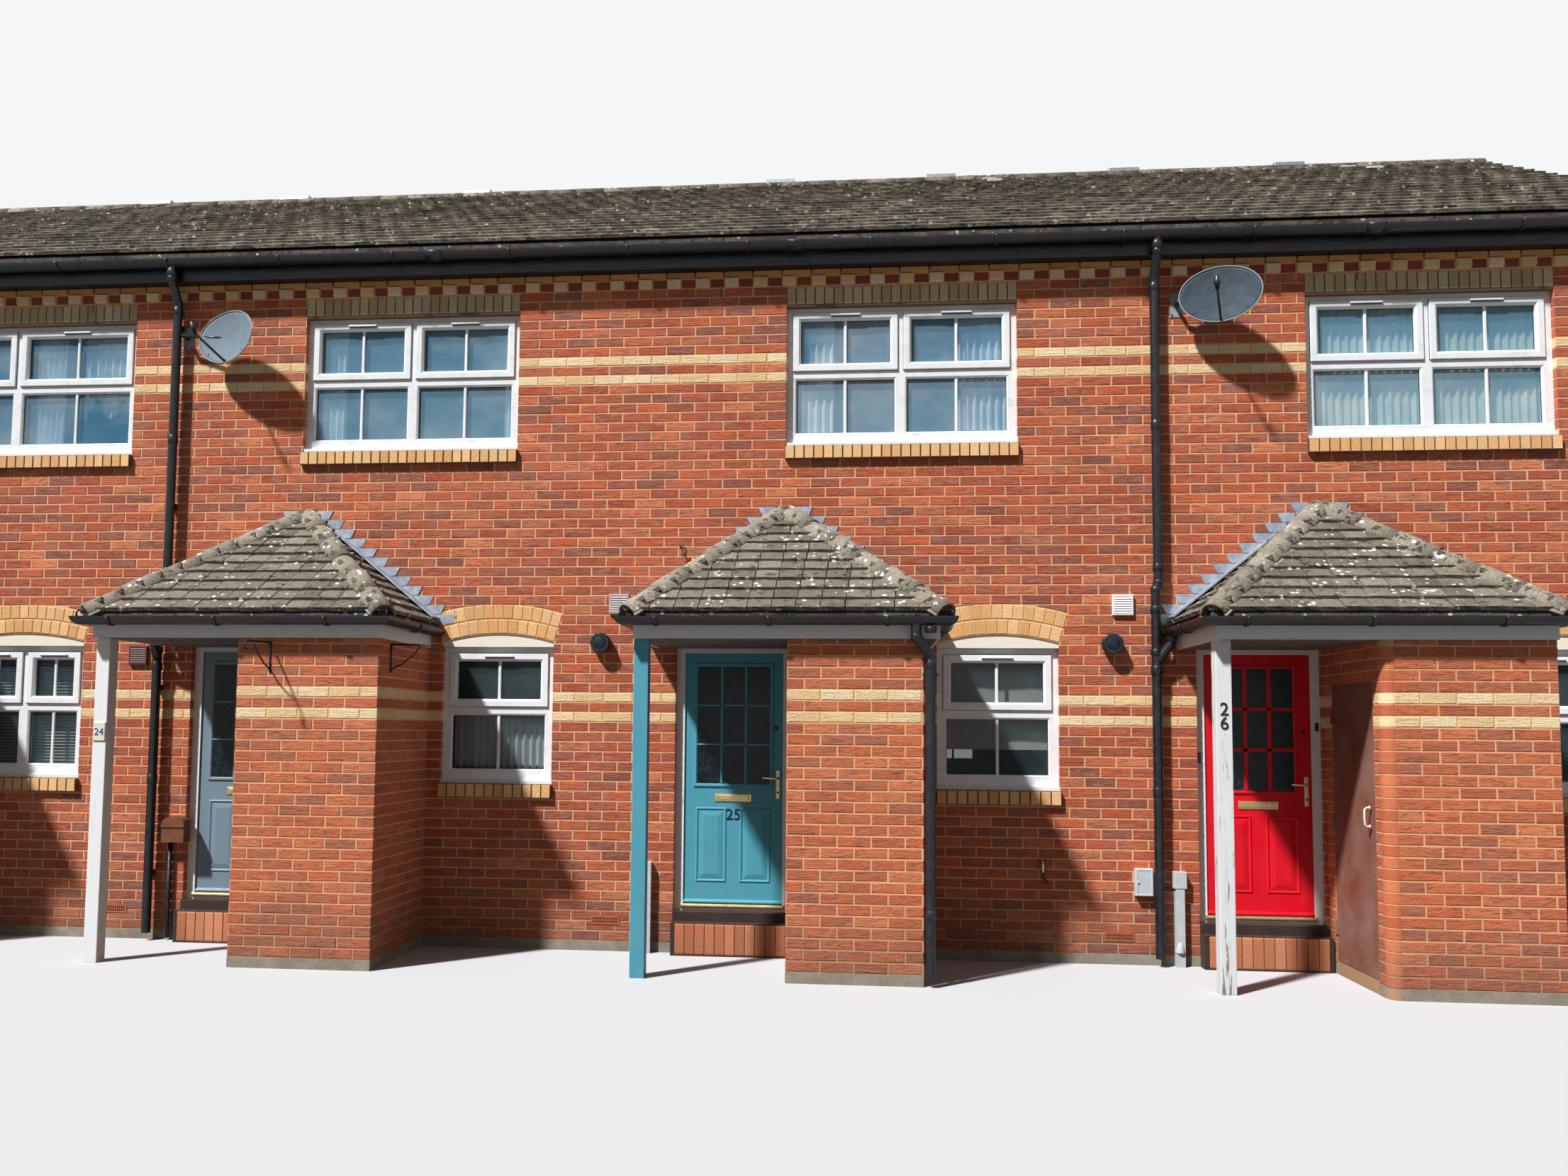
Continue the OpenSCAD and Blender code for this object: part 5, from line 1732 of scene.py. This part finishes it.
# Three panes by three over two raised panels, with a letter plate, a lever handle, a lock and a drip board
def door(i, body, paint, slot, margin, bar):
    plan = doorPlan
    x, y, z = doorwayAt(i) + plan["side"], plan["faceY"], plan["foot"]
    w = plan["leafWidth"]
    skin, glass, brass, dark, drip = Shape(), Shape(), Shape(), Shape(), Shape()
    left, right = x + margin, x + w - margin
    low, high = (z + up for up in plan["glazing"])
    skin.ring((left - 28, low - 28, right + 28, high + 28), onFace(plan["bead"], y, -1))
    glass.block((left - 4, y - 3, low - 4), (right + 4, y + 1, high + 4))
    for k in (1, 2):
        u = left + (right - left) * k / 3
        skin.block((u - bar, y - 8, low), (u + bar, y, high))
    for k in (1, 2):
        v = low + (high - low) * k / 3
        skin.block((left, y - 8, v - bar * 0.8), (right, y, v + bar * 0.8))
    for a, b in ((x + 108, x + w / 2 - 62), (x + w / 2 + 62, x + w - 108)):
        raisedPanel(skin, a, b, z + plan["panels"][0], z + plan["panels"][1], y, -1)
    middle, plate = x + w / 2, z + plan["plateZ"]
    brass.panel((middle - 142, plate - 30, middle + 142, plate + 30), onFace(plan["plate"], y, -1), y)
    brass.panel((middle - 118, plate - 16, middle + 118, plate + 18), onFace(plan["flap"], y, -1), y - 6)
    hx = x + w - 42
    handlePlate(brass, hx, z, y, -1)
    brass.tube([(hx + u, y - d, z + up) for u, d, up in plan["lever"]], plan["leverRadii"], 12)
    dark.tube([(hx, y - d, z + plan["keyholeZ"]) for d in (2, 12)], 8, 14)
    dark.tube([(hx - 20, y - d, z + plan["lockZ"]) for d in (0, 7, 9)], [17, 17, 12], 18)
    drip.prism(*[[(u, y - d, z + up) for d, up in plan["drip"]] for u in (x + 2, x + w - 2)])
    for part, shape, finish, partSlot, bevel in (
            ("mouldings", skin, paint, slot, 1.2), ("glass", glass, "obscure", "glass", 0),
            ("brass", brass, "gold", "brown_paint", 0.8), ("lock", dark, "darkMetal", "black_plastic", 0),
            ("drip", drip, paint, slot, 0.6)):
        shape.made("door_%s_%d" % (part, rowPlan["firstNumber"] + i), finish, body, partSlot, bevel)


door(0, "row", "green", "green_paint", 105, 8)
door(1, "front_door_24", "paleBlue", "grey_paint", 105, 8)
door(2, "front_door_25", "teal", "blue_paint", 105, 8)
door(3, "front_door_26", "red", "red_paint", 126, 15)


def numerals(name, words, centre, height, finish, body, slot, thick):
    curve = bpy.data.curves.new(name, "FONT")
    curve.body = words
    curve.size = 1
    curve.extrude = 0.02
    curve.align_x = "CENTER"
    temp = bpy.data.objects.new(name + "Curve", curve)
    bpy.context.collection.objects.link(temp)
    mesh = bpy.data.meshes.new_from_object(temp.evaluated_get(bpy.context.evaluated_depsgraph_get()))
    bpy.data.objects.remove(temp)
    points = [v.co.copy() for v in mesh.vertices]
    low = Vector((min(p.x for p in points), min(p.y for p in points)))
    high = Vector((max(p.x for p in points), max(p.y for p in points)))
    scale = height / (high.y - low.y)
    for v in mesh.vertices:
        u = (v.co.x - (low.x + high.x) / 2) * scale
        w = (v.co.y - (low.y + high.y) / 2) * scale
        out = -thick if v.co.z > 0 else 0
        v.co = wallPoint((centre[0] + u, centre[1] + out, centre[2] + w))
    turnOut(mesh)
    return keep(name, mesh, finish, body, slot)


doorX = doorwayAt(2) + doorPlan["side"] + doorPlan["leafWidth"] / 2
numerals("numerals_25", "25", (doorX, doorPlan["faceY"], doorPlan["numeralZ"]), doorPlan["numeralHeight"],
         "darkMetal", "front_door_25", "black_plastic", 4)
print("doors dressed")

# The back doors: two panes over two raised panels, and a lever handle
backDoorPlan = {
    "side": 60,
    "glazing": (878, 128),
    "bead": ((0, -1), (0, 4), (6, 9), (16, 9), (22, 3), (22, -1)),
    "panels": (158, 740),
    "lever": ((0, 6, 945), (0, 44, 945), (8, 52, 945), (108, 50, 947)),
    "leverRadii": (10, 10, 9, 7),
}


def backDoors():
    plan = backDoorPlan
    low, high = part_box("back_doors")
    face = (high.y - wallFace) * 1000
    foot, top = low.z * 1000, high.z * 1000
    mouldings, panes, handles = Shape(), Shape(), Shape()
    bottom, head = foot + plan["glazing"][0], top - plan["glazing"][1]
    for i in houses:
        x = partyLine(i) + rowPlan["backDoorOffset"] + plan["side"]
        w = rowPlan["doorwayWidth"] - 2 * plan["side"]
        for a, b in ((x + 110, x + w / 2 - 30), (x + w / 2 + 30, x + w - 110)):
            mouldings.ring((a - 22, bottom, b + 22, head), onFace(plan["bead"], face, 1))
            panes.block((a - 4, face - 1, bottom + 18), (b + 4, face + 2.5, head - 18))
            raisedPanel(mouldings, a, b, foot + plan["panels"][0], foot + plan["panels"][1], face, 1)
        mouldings.block((x - 2, face - 1, foot + 2), (x + w + 2, face + 14, foot + 26))
        hx = x + 42
        handlePlate(handles, hx, foot, face, 1)
        handles.tube([(hx + u, face + d, foot + up) for u, d, up in plan["lever"]], plan["leverRadii"], 12)
    mouldings.made("back_door_mouldings", "white", "row", "white_paint", 1.2)
    panes.made("back_door_glass", "obscure", "row", "glass")
    handles.made("back_door_handles", "greyMetal", "row", "grey_plastic")


backDoors()
print("back doors dressed")

# Steps: bricks on end under a dark tiled sill, and a brass strip over the threshold
stepPlan = {
    "brick": (70, 3, 224),
    "pitch": 75,
    "middleZ": 123,
    "tints": ("DE8659", "D2794E", "E8956A"),
    "strip": (334, 362),
    "stripProfile": ((0, 36), (6, 30), (12, 28)),
}


def doorSteps():
    plan = stepPlan
    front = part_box("door_steps")[0].y * 1000 - wallFace * 1000
    wide = rowPlan["doorwayWidth"]
    count = int(wide / plan["pitch"])
    strips, bricks = Shape(), []
    for i in houses:
        x = doorwayAt(i)
        for k in range(count):
            at = x + wide / 2 + (k - (count - 1) / 2) * plan["pitch"]
            bricks.append({"at": (at, front, plan["middleZ"]), "size": plan["brick"],
                           "tint": plainTint(plan["tints"], 0.12)})
        strips.panel((x + 50, plan["strip"][0], x + wide - 50, plan["strip"][1]), plan["stripProfile"], 70)
    layPieces("step_bricks", unitBrick, bricks, "smoothBrick", "brick", 0.004, 0.0004, 71)
    strips.made("threshold_strips", "gold", "row", "brown_paint")


doorSteps()


# Porch posts, and the numbers on two of them
numberPlan = {
    "digits": (1838, 1746),
    "digitHeight": 82,
    "plaque": (1554, 1688),
    "plaqueDigits": 50,
}


def porchWoodwork():
    plan = numberPlan
    size = porchPlan["post"]
    y = 50 - porchPlan["depth"]
    for i, finish in zip(houses, ("white", "white", "tealPost", "flaking")):
        x = porchEnds(i)[0]
        shape = Shape()
        shape.block((x - 1, y - 1, 0), (x + size + 1, y + size + 1, porchPlan["ceiling"]))
        shape.made("post_skin_%d" % (rowPlan["firstNumber"] + i), finish, "row", "white_paint", 4)
    y -= 1
    x = porchEnds(3)[0] + size / 2
    for part, digit, z in zip(("top", "low"), "26", plan["digits"]):
        numerals("numerals_26_" + part, digit, (x, y, z), plan["digitHeight"], "darkMetal", "row",
                 "black_plastic", 5)
    x = porchEnds(1)[0] + size / 2
    low, high = plan["plaque"]
    plaque = Shape()
    plaque.panel((x - 45, low, x + 45, high), [(0, y - 5), (4, y - 8)], y)
    plaque.made("plaque_24", "cream", "row", "grey_plastic")
    numerals("numerals_24", "24", (x, y - 8, (low + high) / 2), plan["plaqueDigits"], "blue", "row",
             "black_plastic", 2)


porchWoodwork()

# Satellite dishes: house, middle (x, z), wall mount (x, z) and finish; the rest is in the bowl's own axes
dishPlan = {
    "places": ((1, (519, 4723), (64, 4789), "dishPale"), (3, (444, 4873), (170, 4873), "dishGrey")),
    "size": (575, 430),
    "out": 200,
    "turn": 20,
    "tilt": 6,
    "bowl": 50,
    "sheet": 4,
    "armRise": 105,
    "focus": 320,
    "lowEdge": -201,
    "throat": ((0, 16), (30, 16), (32, 22), (60, 22), (62, 18), (90, 18)),
}


def dishes():
    plan = dishPlan
    halfX, halfY = plan["size"][0] / 2, plan["size"][1] / 2
    radius = (halfX ** 2 + plan["bowl"] ** 2) / (2 * plan["bowl"])
    turn, tilt = math.radians(-plan["turn"]), math.radians(90 - plan["tilt"])
    axes = Matrix.Rotation(turn, 3, "Z") @ Matrix.Rotation(tilt, 3, "X")
    sides, rings = 48, 9
    around = [2 * math.pi * k / sides for k in range(sides + 1)]
    dark, pale = Shape(), Shape()
    for house, (along, height), (mountX, mountZ), finish in plan["places"]:
        line = partyLine(house)
        middle = Vector((line + along, -plan["out"], height))

        def spot(x, y, lift=0.0):
            deep = radius - math.sqrt(radius * radius - x * x - y * y)
            return middle + axes @ Vector((x, y, deep + lift))

        bowl = Shape()
        for lift in (0.0, -plan["sheet"]):
            points = [spot(0, 0, lift)]
            for r in range(1, rings + 1):
                points += [spot(halfX * r / rings * math.cos(a), halfY * r / rings * math.sin(a), lift)
                           for a in around[:sides]]
            faces = [(0, 1 + k, 1 + (k + 1) % sides) for k in range(sides)]
            for r in range(rings - 1):
                for k in range(sides):
                    a, b = 1 + r * sides + k, 1 + r * sides + (k + 1) % sides
                    faces.append((a, a + sides, b + sides, b))
            bowl.add(points, faces, smooth=True)
        count = 1 + rings * sides
        edge = [1 + (rings - 1) * sides + k for k in range(sides)]
        bowl.faces += [(a, b, b + count, a + count) for a, b in zip(edge, edge[1:] + edge[:1])]
        bowl.smooth += [False] * sides
        bowl.made("dish_bowl_%d" % (rowPlan["firstNumber"] + house), finish, "row", "grey_plastic")
        rim = [spot((halfX - 3) * math.cos(a), (halfY - 3) * math.sin(a), 1) for a in around]
        pale.tube(rim, 4.5, 8, closed=False)
        for a in (-2.4, -1.57, -0.75):
            u, w = halfX * 0.86 * math.cos(a), halfY * 0.86 * math.sin(a)
            dark.tube([spot(u, w, k) for k in (0, 4)], 5, 10)
        low = Vector((0, plan["lowEdge"], 22))
        tip = Vector((0, plan["lowEdge"] + plan["armRise"], plan["focus"]))
        dark.tube([middle + axes @ p for p in (low, low.lerp(tip, 0.5), tip)], 9, 12)
        throat = [middle + axes @ (tip + Vector((0, 0.866, 0.5)) * reach) for reach, width in plan["throat"]]
        dark.tube(throat, [width for reach, width in plan["throat"]], 18)
        mount = Vector((line + mountX, 0, mountZ))
        pale.block((mount.x - 40, -8, mountZ - 90), (mount.x + 40, 0, mountZ + 90))
        for u, w in ((-28, -74), (28, -74), (-28, 74), (28, 74)):
            dark.tube([mount + Vector((u, y, w)) for y in (-8, -13)], 7, 6)
        knee = mount + Vector((0, -plan["out"] / 2, 0))
        dark.tube([mount + Vector((0, -4, 0)), knee], 15, 16)
        dark.tube([knee, middle + Vector((25, 25, 0))], 15, 16)
        dark.tube([middle + axes @ Vector((0, 0, k)) for k in (-25, -4)], [44, 45], 20)
    piece = dark.made("dish_arms", "black", "row", "grey_plastic")
    pale.made("dish_rims", "dishRim", "row", "grey_plastic")
    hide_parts("satellite_dishes")


dishes()

# Vents, flues, hooks and brackets on the walls
fittingPlan = {
    "ventWide": 150,
    "ventThick": 22,
    "vents": ((1, -245, 2224, "brownVent"), (2, -193, 2631, "vent"), (3, -244, 2619, "whitePlastic")),
    "slats": 7,
    "flueZ": 2328,
    "airBricks": ((2508, 209), (-151, 231), (3644, 199), (-4080, 230)),
    "plates": (-436, 681, 3393, -4486, 5418),
    "plateZ": 5060,
    "tap": (3095, 714),
    "rustyBox": (-3658, -3476, 760, 905),
    "hook": (392, 3070),
    "brackets": (((-2365, -1003), (-2396, -1300), 2047, 2257), ((-1572, -790), (-1255, -820), 2058, 2260)),
    "bellBoxes": ((5072, 1731, 62), (4240, 1500, 76)),
}


def wallFittings():
    plan = fittingPlan
    half = plan["ventWide"] / 2
    names = ("brownVent", "vent", "whitePlastic", "black", "darkMetal", "rust", "airBrick", "gold")
    parts = {name: Shape() for name in names}
    black, dark, gold = parts["black"], parts["darkMetal"], parts["gold"]
    front = -plan["ventThick"]
    rise = (plan["ventWide"] - 28) / plan["slats"]
    slat = ((front - 1, 2), (front - 7, 1), (front - 7, 4), (front - 1, rise - 1))
    for line, along, z, finish in plan["vents"]:
        x = partyLine(line) + along
        shape = parts[finish]
        shape.ring((x - half - 1, z - half - 1, x + half + 1, z + half + 1),
                   [(0, -0.5), (0, front - 2), (3, front - 5), (14, front - 5), (14, -0.5)])
        shape.block((x - half + 10, front - 1, z - half + 10), (x + half - 10, front + 1, z + half - 10))
        for k in range(plan["slats"]):
            low = z - half + 14 + k * rise
            shape.prism(*[[(u, y, low + w) for y, w in slat] for u in (x - half + 12, x + half - 12)])
    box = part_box("flue_terminals")
    for x in (box[0].x * 1000 + 70, box[1].x * 1000 - 70):
        black.tube([(x, y, plan["flueZ"]) for y in (-20, -24, -60, -64)], [73, 78, 78, 73], 28)
        dark.tube([(x, y, plan["flueZ"]) for y in (-90, -93)], [46, 40], 24)
    for x, z in plan["airBricks"]:
        parts["airBrick"].block((x - 107, -6, z - 33), (x + 107, 0, z + 33))
        # dark blocks over the air brick's holes: painted shade inside the holes
        for k in range(11):
            for w in (-17, 5):
                dark.block((x - 94 + k * 17.4, -7.2, z + w), (x - 85 + k * 17.4, -5, z + w + 13))
    for x in plan["plates"]:
        dark.block((x - 5, -proud - 1.5, plan["plateZ"] - 32), (x + 5, -1, plan["plateZ"] + 32))
    x, z = plan["tap"]
    gold.tube([(x, 0, z), (x, -34, z), (x, -42, z - 6), (x, -44, z - 30), (x, -46, z - 60)],
              [11, 11, 12, 11, 9], 14)
    gold.tube([(x, -30, z), (x, -30, z + 26)], 6, 10)
    dark.tube([(x - 26, -30, z + 27), (x + 26, -30, z + 27)], [6, 6], 10)
    dark.tube([(x + 32, -18, z - 134), (x + 8, -30, z - 96), (x, -45, z - 60)], 8, 10)
    left, right, low, high = plan["rustyBox"]
    mid, wide = (left + right) / 2, (right - left) / 2
    arc = [(mid + wide * math.cos(a), high + wide * 0.62 * math.sin(a)) for a in
           [math.pi * k / 14 for k in range(15)]]
    outline = [(right, low)] + arc + [(left, low)]
    parts["rust"].prism([(u, -96, w) for u, w in outline], [(u, 0, w) for u, w in outline])
    parts["rust"].block((left - 6, -104, low + 118), (right + 6, -96, low + 132))
    dark.tube([(left + 40, -30, low + 4), (left + 40, -30, 120), (left + 40, -30, 20)], 17, 14)
    x, z = plan["hook"]
    curl = [(x + 23 + 37 * math.cos(a) * s, -30 - 24 * s, z - 50 + 44 * math.sin(a) * s) for a, s in
            [(2.2 - 0.42 * k, 1 - 0.055 * k) for k in range(13)]]
    dark.tube([(x, 0, z + 2), (x, -26, z)] + curl, 6, 8)
    for upright, tip, low, high in plan["brackets"]:
        start = Vector((upright[0], upright[1], high))
        along = Vector((tip[0], tip[1], high - 8)) - start
        way = along.normalized()
        down = low - high
        dark.tube([start - Vector((0, 0, high - low)), start], 8, 8)
        arm = [(0.0, 0), (0.5, 2), (0.93, 0), (1.0, -14), (1.02, -40), (0.98, -58), (0.92, -52), (0.93, -38)]
        scroll = [(0.0, down + 26), (0.25, down + 60), (0.55, -70), (0.68, -14)]
        for path, radius in ((arm, 7), (scroll, 6)):
            dark.tube([start + along * a + Vector((0, 0, b)) for a, b in path], radius, 8)
        for z in (low + 22, high - 22):
            clip = Vector((start.x, start.y, z))
            dark.tube([clip - way, clip + way * 10], 11, 6)
    for x, z, tall in plan["bellBoxes"]:
        black.panel((x - 12, z - tall / 2, x + 12, z + tall / 2), [(0, 42), (3, 38)], 50)
    for name, shape in parts.items():
        shape.made("fittings_" + name, name, "row", "grey_plastic")
    print("wall fittings:", len(parts))


wallFittings()


# A lid on the meter box, and a small box and a conduit beside house 26
boxPlan = {
    "lid": (3751, 499, 3879, 698),
    "lidProfile": ((0, -54), (5, -59), (14, -59), (18, -57)),
    "key": (3770, 600),
    "small": ((4020, -64, 560), (4110, -1, 680)),
    "conduit": (4062, 175, 100),
}


def serviceBoxes():
    plan = boxPlan
    shape = Shape()
    shape.panel(plan["lid"], plan["lidProfile"], -50)
    x, z = plan["key"]
    shape.tube([(x, -58, z), (x, -64, z)], 9, 12)
    shape.block(*plan["small"])
    x, top, foot = plan["conduit"]
    shape.tube([(x, -38, top), (x, -42, foot)], [26, 37], 16)
    shape.made("service_boxes", "box", "row", "grey_plastic", 3)


serviceBoxes()

# The pull on store door 26
pullPlan = {
    "y": -781,
    "foot": 1076,
    "top": 1199,
}


def storeHandle():
    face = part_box("store_door_26")[0].x * 1000
    y, low, high = pullPlan["y"], pullPlan["foot"], pullPlan["top"]
    shape = Shape()
    path = ((2, low), (-20, low), (-32, low + 12), (-34, (low + high) / 2),
            (-32, high - 12), (-20, high), (2, high))
    shape.tube([(face + u, y, z) for u, z in path], 7, 12)
    for z in (low, high):
        shape.tube([(face + 1, y, z), (face - 5, y, z)], 13, 14)
    shape.made("store_handle_26", "cream", "store_door_26", "brown_paint")


storeHandle()

# Better finishes on the CAD pieces that show
for finish, nodes in {
    "mortar": ("front_wall_ground", "front_wall_upper", "back_wall_ground", "back_wall_upper",
               "end_wall_left", "end_wall_right", "store_walls"),
    "tile": ("roof_front", "roof_back"), "porchTile": ("porch_roofs",), "blackBoard": ("eaves_boards",),
    "black": ("main_gutters", "main_downpipes", "porch_gutters", "porch_downpipes", "flue_terminals"),
    "whitePlastic": ("upper_windows", "lower_windows", "back_windows"),
    "glass": ("upper_glass", "back_glass"), "lowGlass": ("lower_glass",), "darkMortarAndShade": ("window_sills",),
    "creamBoard": ("arch_boards",), "darkTile": ("door_steps",), "concrete": ("ground_floors",),
    "boards": ("first_floors",), "blockwork": ("party_walls",), "shadedCeilingBoard": ("porch_ceilings",),
    "white": ("door_frames", "back_doors", "porch_posts"), "greyBoard": ("porch_fascias",),
    "green": ("door_23",), "paleBlue": ("door_24",), "teal": ("door_25",), "red": ("door_26",),
    "brown": ("store_doors", "store_door_26"), "dishPale": ("satellite_dishes",), "vent": ("wall_vents",),
    "box": ("meter_boxes",),
}.items():
    for node in nodes:
        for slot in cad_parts[node].material_slots:
            slot.material = finishes[finish]
print("frame finished")
